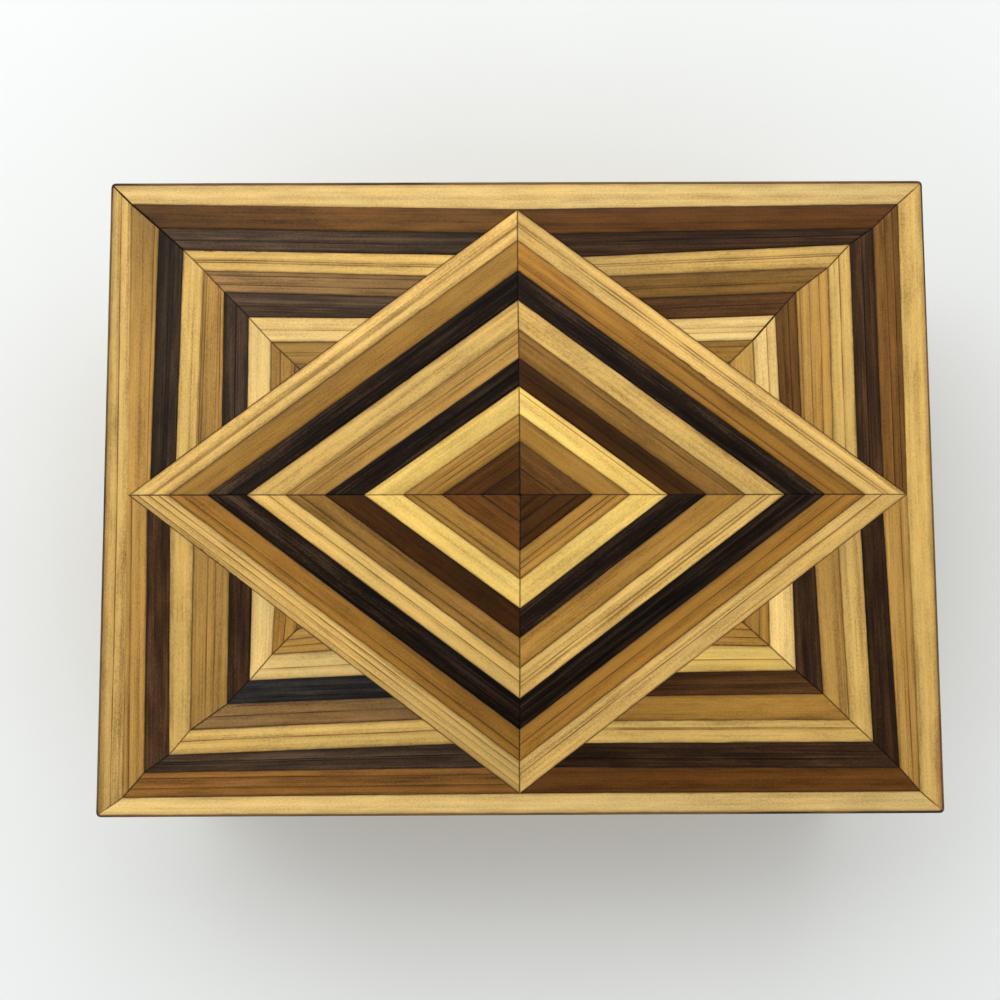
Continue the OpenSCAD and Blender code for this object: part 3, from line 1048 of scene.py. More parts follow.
        width = pen.dot(pen.way(outer, inner), across)
        side = pen.times(pen.least(v, pen.rest(v)), width)
        end = pen.least(self._from_line(pen, flat, a, d), self._from_line(pen, flat, b, c))
        share = pen.math("DIVIDE", pen.least(side, end), given["Arris width"])
        fall = pen.math("POWER", pen.rest(pen.least(share, 1.0)), 2.0)
        rise = pen.math("POWER", pen.math("ABSOLUTE", pen.off_middle(v)), 2.0)
        sunk = pen.total(pen.times(fall, given["Arris drop"]), pen.times(rise, given["Crown"]),
                         drop)
        height = pen.math("SUBTRACT", given["Thickness"], sunk)
        below = pen.math("SUBTRACT", given["Thickness"], pen.times(top, height))

        ripple = pen.add("ShaderNodeTexNoise", {"Vector": flat, "Scale": given["Waves"],
                                                "Detail": 1.0}).outputs["Color"]
        sway = pen.scaled(pen.way((0.5, 0.5, 0.5), ripple), given["Wander"])
        level = pen.scaled(up, pen.dot(sway, up))
        place = pen.vector("ADD", flat, pen.way(level, sway))
        place = pen.vector("SUBTRACT", place, pen.scaled(up, below))
        laid = pen.add("GeometryNodeSetPosition", {"Geometry": laid, "Position": place}).outputs[0]
        return laid, {"a": a, "up": up, "along": along, "across": across, "u": u, "v": v,
                      "width": width, "end": end, "side": side}

    def _closer_at_ends(self, pen: NodePen, share: Socket) -> Socket:
        """Draws rows closer together towards both ends of a share from 0 to 1."""
        swing = pen.math("COSINE", pen.times(share, math.pi))
        return pen.math("MULTIPLY_ADD", swing, -0.5, 0.5)

    def _from_line(self, pen: NodePen, place: Socket, start: Socket, end: Socket) -> Socket:
        """Gives the distance of a place from the line through two points."""
        line = pen.vector("NORMALIZE", pen.way(start, end))
        return pen.vector("LENGTH", pen.vector("CROSS_PRODUCT", pen.way(start, place), line))

    def _mark(self, pen: NodePen, laid: Socket, turn: dict[str, Socket]) -> Socket:
        """Keeps what the finishes read: the place in the wood and on the strip.

        Args:
            pen: Writes the nodes.
            laid: The strips.
            turn: The directions and distances at each point.

        Returns:
            The strips with their attributes.
        """
        here = pen.add("GeometryNodeInputPosition").outputs[0]
        spread = pen.scaled(pen.way(turn["a"], here), 1 / MM)
        parts = (pen.dot(spread, turn[key]) for key in ("along", "across", "up"))
        grain = pen.vector("ADD", pen.combine(*parts), carried(pen, "grain_shift"))
        laid = self._stored(pen, laid, "grain_mm", grain)
        end_mm, side_mm, width_mm = (pen.math("DIVIDE", turn[key], MM)
                                     for key in ("end", "side", "width"))
        laid = self._stored(pen, laid, "strip_spot", pen.combine(turn["v"], end_mm, side_mm))
        shade, tilt, rim = pen.split(carried(pen, "strip_tuning"))
        # Lighter or darker towards each end: partly the strip's own tone, partly painted light and
        # sheen.
        first, second, _ = pen.split(carried(pen, "strip_ends"))
        off_middle = pen.off_middle(turn["u"])
        shade = pen.total(shade, pen.times(tilt, pen.math("SUBTRACT", turn["v"], 0.5)),
                          pen.times(pen.least(off_middle, 0.0), -1.0, first),
                          pen.times(pen.most(off_middle, 0.0), second))
        return self._stored(pen, laid, "strip_tuning", pen.combine(shade, width_mm, rim))

    def _finish(self, pen: NodePen, given: Sequence[Socket], laid: Socket) -> Socket:
        """Smooths the faces, keeps the cut edges sharp and gives each strip its wood.

        Args:
            pen: Writes the nodes.
            given: The tree's inputs.
            laid: The strips.

        Returns:
            The finished strips.
        """
        laid = pen.add("GeometryNodeSetShadeSmooth", {"Geometry": laid}, domain="FACE").outputs[0]
        angle = pen.add("GeometryNodeInputMeshEdgeAngle").outputs[0]
        sharp = pen.math("GREATER_THAN", angle, math.radians(self.sharp_deg))
        laid = pen.add("GeometryNodeSetShadeSmooth",
                       {"Geometry": laid, "Selection": sharp, "Shade Smooth": False},
                       domain="EDGE").outputs[0]
        number = pen.split(carried(pen, "strip_numbers"))[0]
        for i, wood in enumerate(Wood):
            off = pen.math("ABSOLUTE", pen.math("SUBTRACT", number, i))
            laid = pen.add("GeometryNodeSetMaterial",
                           {"Geometry": laid, "Material": given[wood.value.name],
                            "Selection": pen.math("LESS_THAN", off, 0.5) if i else True}).outputs[0]
        return laid


def usual_slot(strips: Sequence[Strip]) -> str:
    """Gives the material slot that most of some strips belong to."""
    return Counter(strip.cut.wood.value.slot for strip in strips).most_common(1)[0][0]


class Quarter(Enum):
    """Quarters of the lid seen from above, clockwise, with the signs of their X and Y."""

    TOP_LEFT = (-1, 1)
    TOP_RIGHT = (1, 1)
    BOTTOM_RIGHT = (1, -1)
    BOTTOM_LEFT = (-1, -1)


@dataclass(frozen=True)
class Drift:
    """How far in the joints of one quarter lie from where they are drawn, as laid by hand.

    Each row goes from the outer joint of ring 2 to that of ring 9.

    Attributes:
        mitre_x_mm: Where the joint turns the corner, along X.
        mitre_y_mm: The same, along Y.
        long_end_mm: Where the joint of the long side meets the diamond, along Y.
        short_end_mm: Where the joint of the short side meets it, along X.
    """

    mitre_x_mm: tuple[float, ...]
    mitre_y_mm: tuple[float, ...]
    long_end_mm: tuple[float, ...]
    short_end_mm: tuple[float, ...]


@dataclass
class LidPattern:
    """The strips on the lid: a border, the field's rings and the diamond's rings.

    Attributes:
        layer: Lays the strips.
        diamond_rings: Rings in the diamond.
        field_last: The last ring round the lid, with the border counted as the first.
        band_mm: How much of the edge banding shows at each corner of the border, as (X, Y).
        tips_mm: Where the diamond's tips lie.
        centre_mm: Where its strips meet in the middle.
        sag: How much closer to the middle the rings lie half-way to each tip.
        gapes_mm: How far each side of a mitre stands back where it gapes, by quarter and ring.
        field_blunt: How much of the last field ring's way to its point is left off.
        diamond_blunt: The same for the diamond's middle.
    """

    layer: StripLayer
    diamond_rings: int = 10
    field_last: int = 9
    band_mm: dict[Quarter, Pair] = field(default_factory=lambda: {
        Quarter.TOP_LEFT: (0.35, 0.55), Quarter.TOP_RIGHT: (0.2, 0.55),
        Quarter.BOTTOM_RIGHT: (0.4, 0.45), Quarter.BOTTOM_LEFT: (0.35, 0.4)})
    tips_mm: tuple[Pair, ...] = ((0, 61.25), (82.25, -1), (-0.25, -63), (-82.5, -0.5))
    centre_mm: Pair = (0.25, -0.75)
    sag: tuple[float, ...] = (0.025, 0.018, 0.015, 0.0)
    gapes_mm: dict[tuple[Quarter, int], float] = field(default_factory=lambda: {
        (Quarter.TOP_LEFT, 1): 0.12, (Quarter.TOP_LEFT, 2): 0.1, (Quarter.TOP_LEFT, 3): 0.05,
        (Quarter.TOP_RIGHT, 7): 0.08})
    field_blunt: float = 0.12
    diamond_blunt: float = 0.04

    # Read from the joints to a quarter of a millimetre
    drifts = {
        Quarter.TOP_LEFT: Drift((-.5, .5, .75, .25, -.5, -.25, -.5, -.5),
                                (-.25, .25, .25, 0, -.25, .5, 1, 1),
                                (.75, 1.5, 1.5, 1.25, 1, .75, 1, 1),
                                (-.25, -.25, 0, -.5, -.5, -.25, -.5, -.5)),
        Quarter.TOP_RIGHT: Drift((.5, 1, 1, .75, 2.75, 2.25, 2, 2),
                                 (.25, .75, -.5, -.25, .25, .5, 1, 1),
                                 (1, 1.75, 2, 1.5, 1.5, 1.25, 1.25, 1.25),
                                 (.25, .5, .75, .75, 2.25, 1.75, 1.75, 2)),
        Quarter.BOTTOM_RIGHT: Drift((0, -1, -.75, -1, -.75, -.25, 0, .25),
                                    (-.5, -.5, 0, -.25, .25, .25, .5, .5),
                                    (-.5, 0, 0, -.25, 0, 0, .75, .75),
                                    (.5, .75, .5, .25, .25, 0, 0, 0)),
        Quarter.BOTTOM_LEFT: Drift((.5, -.25, -.25, -1, 1.5, 1, .5, .25),
                                   (-1, -.75, -2, -1.75, -1.25, -1.25, -.75, -.75),
                                   (-.5, 0, 0, .25, 0, -.25, 0, 0),
                                   (-.25, -.75, -1, -1, 1.5, 1.25, 1, .75)),
    }

    # Cuts of the border, clockwise from the top
    border_cuts = (cut(Wood.BLOND, ends=(0, -0.1)),
                   cut(Wood.PALE, shade=0.05, ends=(0.1, -0.15)),
                   cut(Wood.BLOND, shade=-0.1, ends=(-0.05, 0.15)),
                   cut(Wood.STRAW, 0.5, shade=0.05, tilt=0.2, ends=(-0.2, 0)))

    # Cuts of each ring of the field, clockwise from the left half of the top side
    field_cuts = {
        2: (cut(Wood.WALNUT, shade=0.05, ends=(-0.5, -0.2)),
            cut(Wood.TEAK, shade=-0.1, ends=(0, 0.1)),
            cut(Wood.CHESTNUT, 0.25, 0.55, shade=0.05, tilt=0.2, ends=(0.15, 0)),
            cut(Wood.OAT, 0.32, shade=0.1, tilt=0.2), cut(Wood.TEAK, ends=(0.05, -0.25)),
            cut(Wood.WALNUT, 0.35, 0.75, shade=0.5, tilt=0.2, ends=(0.15, -0.2)),
            cut(Wood.OAT, 0.27, shade=0.1, ends=(-0.2, 0)),
            cut(Wood.OAT, 0.85, shade=0.1, ends=(-0.35, 0.1))),
        # The upper left strip is cut from the greyer umber, partly a painted sheen.
        3: (cut(Wood.UMBER, 0.55, shade=0.1, ends=(0, -0.4)),
            cut(Wood.COCOA, 0.4, shade=-0.15, ends=(0.25, -0.15)),
            cut(Wood.COCOA, 0.5, shade=0.25, tilt=-0.2), cut(Wood.COCOA, shade=-0.4),
            cut(Wood.COCOA, 0.35, shade=-0.25, tilt=-0.3, ends=(0.2, -0.3)),
            cut(Wood.UMBER, 0.45, 0.55, shade=-0.05, tilt=-0.5, ends=(-0.15, -0.25)),
            cut(Wood.COCOA, shade=0.25),
            cut(Wood.UMBER, 0.5, shade=-0.5, tilt=0.3, ends=(-0.15, 0.1))),
        4: (cut(Wood.PALE, 0.48, 0.58, shade=0.1, ends=(-0.1, 0.15)),
            cut(Wood.PALE, 0.42, 0.52, shade=0.05, ends=(-0.1, -0.2)),
            cut(Wood.PALE, 0.5, shade=-0.05, ends=(0.15, 0)),
            cut(Wood.PALE, shade=0.05, ends=(-0.1, -0.2)),
            cut(Wood.PALE, 0.6, 0.66, shade=-0.1),
            cut(Wood.PALE, 0.55, tilt=0.2, ends=(0, -0.2)), cut(Wood.PALE, shade=-0.1),
            cut(Wood.PALE, 0.95, shade=0.2, ends=(-0.15, -0.15))),
        5: (cut(Wood.ELM, 0.2, 0.65, shade=0.15, ends=(0.3, -0.25)),
            cut(Wood.HAZEL, 0.6, shade=-0.15, ends=(0.1, -0.1)),
            cut(Wood.OAT, 0.3, 0.6, 0.9, shade=0.15), cut(Wood.OAT, tilt=0.2, ends=(0, -0.1)),
            cut(Wood.HONEY, shade=-0.05, ends=(0, -0.25)),
            cut(Wood.ELM, 0.5, shade=-0.1, ends=(0.1, -0.2)),
            cut(Wood.OAT, 0.4, 0.62, shade=-0.05, ends=(-0.15, -0.1)),
            cut(Wood.OAT, 0.13, 0.85, shade=0.05, tilt=0.2, ends=(0.05, -0.2))),
        # The upper left strip is cut from the greyer umber, partly a painted sheen.
        6: (cut(Wood.UMBER, 0.55, shade=0.1, tilt=0.4, ends=(0, -0.1)),
            cut(Wood.MAHOGANY, 0.5, ends=(0.25, -0.3)), cut(Wood.WALNUT, 0.4, shade=-0.15),
            cut(Wood.COCOA, shade=-0.1, tilt=0.3, ends=(0.1, -0.1)),
            cut(Wood.MAHOGANY, 0.45, shade=-0.4, tilt=-0.2, ends=(0.35, -0.1)),
            cut(Wood.INK, shade=-0.15, ends=(0.4, -0.15)),
            cut(Wood.COCOA, shade=-0.3, tilt=0.3, ends=(0.25, 0)),
            cut(Wood.UMBER, 0.5, shade=-0.35)),
        7: (cut(Wood.BLOND, 0.52, shade=0.05),
            cut(Wood.BLOND, 0.45, 0.66, shade=0.1, tilt=-0.2),
            cut(Wood.BLOND, 0.4, shade=0.1), cut(Wood.BLOND, shade=0.1),
            cut(Wood.CREAM, 0.45, shade=-0.15),
            cut(Wood.BLOND, 0.42, shade=-0.15, ends=(0.05, -0.1)),
            cut(Wood.BLOND, shade=-0.05, ends=(0.2, -0.1)), cut(Wood.BLOND, ends=(-0.1, 0))),
        8: (cut(Wood.OAT, 0.5, shade=-0.15), cut(Wood.HONEY, 0.3, shade=-0.15),
            cut(Wood.OAT, shade=0.15), cut(Wood.HONEY, 0.4, shade=-0.05),
            cut(Wood.HONEY, 0.35, 0.7, shade=0.1), cut(Wood.OAT, 0.3, 0.6, shade=0.05),
            cut(Wood.HONEY, 0.5, shade=0.05), cut(Wood.OAT, 0.4, shade=-0.1)),
        9: (cut(Wood.ELM, 0.5, shade=0.2), cut(Wood.HONEY), cut(Wood.HONEY), cut(Wood.HONEY),
            cut(Wood.HAZEL), cut(Wood.HONEY), cut(Wood.HONEY), cut(Wood.ELM, shade=0.1)),
    }

    # Cuts of each ring of the diamond, clockwise from the side between its left and top tips
    diamond_cuts = {
        1: (cut(Wood.STRAW, 0.5, 0.56, shade=0.3, tilt=-0.3, ends=(-0.1, 0.15)),
            cut(Wood.STRAW, 0.42, 0.55, shade=0.35, ends=(-0.3, -0.25)),
            cut(Wood.STRAW, 0.6, shade=0.1),
            cut(Wood.STRAW, 0.2, 0.5, 0.75, shade=0.15, ends=(-0.4, -0.1))),
        2: (cut(Wood.HONEY, shade=-0.05, ends=(-0.05, 0.1)),
            cut(Wood.AMBER, 0.75, ends=(0.45, -0.15)), cut(Wood.AMBER, 0.5, tilt=-0.3),
            cut(Wood.AMBER, 0.35, shade=-0.05, tilt=-0.2, ends=(-0.2, 0.15))),
        # The first strip's left end is much lighter, a painted sheen.
        3: (cut(Wood.EBONY, 0.55, shade=0.1, tilt=0.5, ends=(1.5, 0)),
            cut(Wood.EBONY, shade=0.5, tilt=0.5, ends=(0.4, 0.2)),
            cut(Wood.EBONY, shade=-0.4, ends=(0.5, 0.5)), cut(Wood.EBONY, ends=(-0.5, 0.8))),
        4: (cut(Wood.PALE), cut(Wood.PALE, shade=0.05, ends=(0.1, -0.1)),
            cut(Wood.PALE, 0.35, 0.5, shade=0.3, tilt=-0.3, ends=(-0.25, -0.25)),
            cut(Wood.PALE, 0.55, shade=0.1, ends=(-0.2, 0.1))),
        5: (cut(Wood.OAT, 0.1, 0.45, shade=0.15, ends=(-0.1, 0)),
            cut(Wood.HAZEL, 0.3, shade=0.1, tilt=-0.2, ends=(0.05, -0.15)),
            cut(Wood.HONEY, ends=(0, 0.1)), cut(Wood.HAZEL, 0.35, shade=0.05, ends=(0.3, 0.2))),
        # The first strip's left end is much lighter, a painted sheen.
        6: (cut(Wood.EBONY, 0.5, shade=0.25, tilt=0.4, ends=(1.2, -0.2)),
            cut(Wood.RUSSET, 0.5, shade=-0.4, ends=(0.25, 0.25)),
            cut(Wood.EBONY, tilt=-0.4, ends=(0.1, 0.3)),
            cut(Wood.RUSSET, shade=-0.4, tilt=-0.3, ends=(0.05, 0.2))),
        7: (cut(Wood.CREAM, tilt=-0.2), cut(Wood.CREAM, 0.2, shade=0.2, ends=(0.1, -0.25)),
            cut(Wood.CREAM, ends=(0.15, 0)), cut(Wood.CREAM, ends=(0.05, 0.15))),
        8: (cut(Wood.HONEY, 0.35, 0.6, shade=0.1, tilt=-0.3, ends=(-0.25, -0.1)),
            cut(Wood.HONEY, ends=(-0.1, -0.1)),
            cut(Wood.HONEY, 0.35, 0.55, shade=0.15, tilt=-0.3),
            cut(Wood.HONEY, 0.25, shade=0.1, ends=(-0.15, -0.2))),
        9: (cut(Wood.RUSSET, 0.5, shade=0.05), cut(Wood.WALNUT, shade=-0.05),
            cut(Wood.RUSSET, 0.4, shade=-0.25), cut(Wood.TEAK, shade=0.15)),
        10: (cut(Wood.RUSSET, shade=-0.35), cut(Wood.TEAK, shade=-0.1),
             cut(Wood.RUSSET, 0.5, shade=-0.2, tilt=0.2), cut(Wood.TEAK)),
    }

    @property
    def top(self) -> float:
        """The height of the lid's face."""
        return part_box("lid_border")[1].z

    def point(self, x: float, y: float) -> Vector:
        """Gives a point on the lid's face."""
        return Vector((x, y, self.top))

    def mitre(self, quarter: Quarter, ring: int) -> Vector:
        """Gives the place where a ring's outer joint turns the corner.

        Args:
            quarter: The quarter of the lid.
            ring: The ring, from 2 to the one after the field's last.

        Returns:
            The place on the lid's face.
        """
        drift = self.drifts[quarter]
        step = min(ring, self.field_last) - 2
        return self._in_quarter(quarter, self._reach(ring),
                                (drift.mitre_x_mm[step], drift.mitre_y_mm[step]))

    def _in_quarter(self, quarter: Quarter, reach: Vector, less_mm: Pair) -> Vector:
        """Gives the point of a quarter at a reach from the middle, less a little along X and Y."""
        return self.point(quarter.value[0] * (reach.x - less_mm[0] * MM),
                          quarter.value[1] * (reach.y - less_mm[1] * MM))

    def _reach(self, ring: int) -> Vector:
        """Gives how far from the middle a ring is drawn.

        Args:
            ring: The ring, from 2 to the one after the field's last.

        Returns:
            The reach along X and Y.
        """
        if ring <= self.field_last:
            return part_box(f"field_ring_{ring}")[1] + Vector((HALF_GLUE_LINE, HALF_GLUE_LINE, 0))
        return 2 * self._reach(self.field_last) - self._reach(self.field_last - 1)

    def diamond_edge(self, quarter: Quarter) -> tuple[Vector, Vector]:
        """Gives the ends of the diamond's outer edge in one quarter.

        Args:
            quarter: The quarter of the lid.

        Returns:
            The tip on the X axis and the tip on the Y axis.
        """
        x_sign, y_sign = quarter.value
        return self.tip(1 if x_sign > 0 else 3, 1), self.tip(0 if y_sign > 0 else 2, 1)

    def tip(self, number: int, ring: int) -> Vector:
        """Gives an outer corner of one of the diamond's rings.

        Args:
            number: Which tip, clockwise from the top.
            ring: The ring, from 1 to the one after the last.

        Returns:
            The place on the lid's face.
        """
        gone = (ring - 1) / self.diamond_rings
        share = 1 - gone - self.sag[number] * 4 * gone * (1 - gone)
        middle = Vector(self.centre_mm)
        place = (middle + (Vector(self.tips_mm[number]) - middle) * share) * MM
        return self.point(*place)

    def _end(self, quarter: Quarter, ring: int, long_side: bool) -> Vector:
        """Gives the place where a field ring's outer joint meets the diamond.

        Args:
            quarter: The quarter of the lid.
            ring: The ring.
            long_side: Whether the joint runs along the lid's long side.

        Returns:
            The place on the lid's face.
        """
        drift = self.drifts[quarter]
        step = min(ring, self.field_last) - 2
        side_tip, top_tip = self.diamond_edge(quarter)
        way = top_tip - side_tip
        axis, less_mm = (1, drift.long_end_mm) if long_side else (0, drift.short_end_mm)
        level = quarter.value[axis] * (self._reach(ring)[axis] - less_mm[step] * MM)
        return side_tip + way * ((level - side_tip[axis]) / way[axis])

    def border(self) -> list[Strip]:
        """Lists the strips of the border.

        Returns:
            Its four strips, clockwise from the top.
        """
        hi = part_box("lid_edge_banding")[1]
        outer = [self._in_quarter(quarter, hi, self.band_mm[quarter]) for quarter in Quarter]
        inner = [self.mitre(quarter, 2) for quarter in Quarter]
        gapes = [self._gape(quarter, 1) for quarter in Quarter]
        strips = []
        for i, piece in enumerate(self.border_cuts):
            j = (i + 1) % 4
            axis = j % 2
            middle = (inner[i] + inner[j]) / 2
            kink = (middle[axis] - self.tip(i, 1)[axis]) * math.copysign(1, middle[axis])
            strips.append(Strip((outer[i], outer[j]), (inner[i], inner[j]), UP, piece, kink,
                                (gapes[i], gapes[j]), free_side=True))
        return strips

    def _gape(self, quarter: Quarter, ring: int) -> float:
        """Gives how far each side of a ring's mitre stands back."""
        return self.gapes_mm.get((quarter, ring), 0.0) * MM

    def field_ring(self, ring: int) -> list[Strip]:
        """Lists the strips of one ring of the field.

        Args:
            ring: The ring, from 2.

        Returns:
            Its eight strips, clockwise from the left half of the top side.
        """
        quarters = list(Quarter)
        strips = []
        for i, piece in enumerate(self.field_cuts[ring]):
            # Two strips lie in each quarter and two on each side, one step apart
            quarter = quarters[(i + 1) // 2 % 4]
            long_side = i // 2 % 2 == 0
            outer = (self.mitre(quarter, ring), self._end(quarter, ring, long_side))
            if ring < self.field_last:
                inner = (self.mitre(quarter, ring + 1), self._end(quarter, ring + 1, long_side))
            else:
                inner = self._last_corner(quarter, outer)
            gapes = (self._gape(quarter, ring), 0.0)
            strips.append(Strip(outer, inner, UP, piece, open_ends=gapes))
        return strips

    def _last_corner(self, quarter: Quarter, outer: tuple[Vector, Vector]) -> tuple[Vector, Vector]:
        """Gives the blunt inner end of the last ring, where the mitre meets the diamond.

        Args:
            quarter: The quarter of the lid.
            outer: The ends of the strip's outer edge.

        Returns:
            Two points next to each other, next to the ends of the outer edge.
        """
        start = self.mitre(quarter, self.field_last)
        run = start - self.mitre(quarter, self.field_last - 1)
        side_tip, top_tip = self.diamond_edge(quarter)
        way = top_tip - side_tip
        apex = start + run * ((side_tip - start).cross(way).z / run.cross(way).z)
        return tuple(end.lerp(apex, 1 - self.field_blunt) for end in outer)

    def diamond_ring(self, ring: int) -> list[Strip]:
        """Lists the strips of one ring of the diamond.

        Args:
            ring: The ring, from 1.

        Returns:
            Its four strips, clockwise from the one between the left and the top tip.
        """
        strips = []
        for start, piece in zip((3, 0, 1, 2), self.diamond_cuts[ring]):
            ends = (start, (start + 1) % 4)
            outer = tuple(self.tip(end, ring) for end in ends)
            inner = tuple(self.tip(end, ring + 1) for end in ends)
            if ring == self.diamond_rings:
                inner = tuple(a.lerp(b, self.diamond_blunt) for a, b in zip(inner, outer))
            strips.append(Strip(outer, inner, UP, piece))
        return strips

    def build(self) -> None:
        """Lays every ring of the lid."""
        rings = {"lid_border": self.border()}
        rings |= {f"field_ring_{i}": self.field_ring(i) for i in range(2, self.field_last + 1)}
        rings |= {f"diamond_ring_{i}": self.diamond_ring(i)
                  for i in range(1, self.diamond_rings + 1)}
        for node, strips in rings.items():
            dress(self.layer.lay(f"{node}_strips", strips), "lid", usual_slot(strips), node)


@dataclass
class Wall:
    """One wall's face, turned from the front.

    Attributes:
        spin: The turn from the front wall.
        reach: How far the face of its strips lies from the middle.
        half_w: Half of its width.
        half_h: Half of its height.
        middle_z: The height of its middle.
    """

    spin: Matrix
    reach: float
    half_w: float
    half_h: float
    middle_z: float

    @property
    def out(self) -> Vector:
        """The direction that the wall looks in."""
        return self.spin @ Vector((0, -1, 0))

    def loop(self, inset: float, unevenness: float, chance: random.Random) -> list[Vector]:
        """Gives the corners of a ring on the wall.

        Args:
            inset: How far in the ring lies.
            unevenness: How far its corners may lie off.
            chance: Draws how far they do.

        Returns:
            Four corners.
        """
        corners = []
        for x_sign, z_sign in ((-1, 1), (1, 1), (1, -1), (-1, -1)):
            x = x_sign * (self.half_w - inset) + chance.uniform(-1, 1) * unevenness
            z = self.middle_z + z_sign * (self.half_h - inset) + chance.uniform(-1, 1) * unevenness
            corners.append(self.spin @ Vector((x, -self.reach, z)))
        return corners


@dataclass
class WallPattern:
    """The strips on the four walls: four rings round one middle strip on each.

    Attributes:
        layer: Lays the strips.
        rings: Rings on each wall.
        unevenness: How far the corners of the rings lie from where they are drawn.
        lines_at: Between which shares of a strip's width its growth lines lie.
        uneven_shade: How much lighter or darker a strip may be.
        leaf_t: The thickness of a hinge leaf.
        leaf_play: How much wider than a leaf its place in the top strip is, on each side.
        seed: Fixes the uneven corners and the choice of wood.
    """

    layer: StripLayer
    rings: int = 4
    unevenness: float = 0.22 * MM
    lines_at: Pair = (0.2, 0.8)
    uneven_shade: float = 0.06
    leaf_t: float = 0.8 * MM
    leaf_play: float = 0.1 * MM
    seed: int = 23

    # Woods that each ring is cut from, and the middle strip's at the end
    woods = ((Wood.PALE, Wood.STRAW), (Wood.HONEY, Wood.WALNUT, Wood.HONEY),
             (Wood.COCOA, Wood.UMBER, Wood.COCOA), (Wood.PALE, Wood.CREAM),
             (Wood.HONEY, Wood.OAT, Wood.HAZEL))
    # How many growth lines a strip may have, the usual number twice
    line_counts = (0, 1, 1, 2)

    def build(self) -> None:
        """Lays every ring of the walls."""
        chance = random.Random(self.seed)
        nodes = ["side_border", *(f"side_ring_{i}" for i in range(2, self.rings + 1)), "side_core"]
        laid: dict[str, list[Strip]] = {node: [] for node in nodes}
        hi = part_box("side_border")[1]
        board_lo, board_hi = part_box("front_wall")
        for turn in range(4):
            along_x = turn % 2 == 0
            wall = Wall(Matrix.Rotation(math.radians(90 * turn), 3, "Z"),
                        reach=hi.y if along_x else hi.x,
                        half_w=hi.x if along_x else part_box("right_wall")[1].y,
                        half_h=(board_hi.z - board_lo.z) / 2,
                        middle_z=(board_lo.z + board_hi.z) / 2)
            loops = [wall.loop(self._inset(ring), self.unevenness if ring > 1 else 0.0, chance)
                     for ring in range(1, self.rings + 2)]
            for ring in range(self.rings):
                laid[nodes[ring]] += self._frame(wall, loops[ring:ring + 2], self.woods[ring],
                                                 ring == 0, chance)
            a, b, c, d = loops[-1]
            piece = Cut(chance.choice(self.woods[-1]), (chance.uniform(*self.lines_at),))
            laid[nodes[-1]].append(Strip((a, b), (d, c), wall.out, piece))
        for node, strips in laid.items():
            piece = self.layer.lay(f"{node}_strips", strips)
            if node == "side_border":
                self._let_in_leaves(piece)
            dress(piece, "box", usual_slot(strips), node)

    def _inset(self, ring: int) -> float:
        """Gives how far a ring's outer joint lies in from the edge of its wall."""
        node = f"side_ring_{ring}" if ring <= self.rings else "side_core"
        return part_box("front_wall")[1].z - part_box(node)[1].z - HALF_GLUE_LINE if ring > 1 else 0.0

    def _frame(self, wall: Wall, loops: Sequence[Sequence[Vector]], woods: Sequence[Wood],
               is_border: bool, chance: random.Random) -> list[Strip]:
        """Lists the four strips between two loops.

        Args:
            wall: The wall.
            loops: The corners of the outer loop and of the inner one.
            woods: What to choose from.
            is_border: Whether the outer edges are free.
            chance: Draws the woods and their lines.

        Returns:
            The strips.
        """
        outer, inner = loops
        strips = []
        for i in range(4):
            j = (i + 1) % 4
            lines = tuple(chance.uniform(*self.lines_at)
                          for _ in range(chance.choice(self.line_counts)))
            piece = Cut(chance.choice(woods), lines,
                        chance.uniform(-self.uneven_shade, self.uneven_shade))
            strips.append(Strip((outer[i], outer[j]), (inner[i], inner[j]), wall.out, piece,
                                free_side=is_border))
        return strips

    def _let_in_leaves(self, piece: bpy.types.Object) -> None:
        """Lowers the back wall's top strip to the floor of the hinge leaves' pockets.

        Args:
            piece: The border strips of the walls.
        """
        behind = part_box("back_wall")[1].y - HALF_GLUE_LINE
        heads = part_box("lower_leaf_screws")[1].z
        play = (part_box("upper_leaf_screws")[0].z - heads) / 2
        floor = heads - self.leaf_t - play
        model = bmesh.new()
        model.from_mesh(piece.data)
        for leaf in ("lower_leaf_left", "lower_leaf_right"):
            lo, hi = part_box(leaf)
            sink_groove(model, 0, lo.x - self.leaf_play, hi.x + self.leaf_play, floor,
                        lambda place: place.y > behind)
        model.to_mesh(piece.data)
        model.free()


def sink_groove(model: bmesh.types.BMesh, axis: int, low: float, high: float, floor: float,
                takes: Callable[[Vector], bool]) -> None:
    """Sinks a straight groove with nearly upright sides into the upper side of a closed form.

    Args:
        model: The form.
        axis: The axis that the groove crosses, 0 for X and 1 for Y.
        low: Where the groove begins on that axis.
        high: Where it ends.
        floor: The height of its floor.
        takes: Says whether a place belongs to the part that is cut.
    """
    slope = 0.02 * MM
    normal = Vector((1 - axis, axis, 0))
    for level in (low, low + slope, high - slope, high):
        everything = [*model.verts, *model.edges, *model.faces]
        bmesh.ops.bisect_plane(model, geom=everything, dist=SAME_POINT, plane_co=normal * level,
                               plane_no=normal)
    moved = [vertex for vertex in model.verts
             if low + slope / 2 < vertex.co[axis] < high - slope / 2
             and vertex.co.z > floor and takes(vertex.co)]
    for vertex in moved:
        vertex.co.z = floor
    bmesh.ops.remove_doubles(model, verts=moved, dist=slope / 10)
    bmesh.ops.dissolve_degenerate(model, edges=model.edges, dist=SAME_POINT)


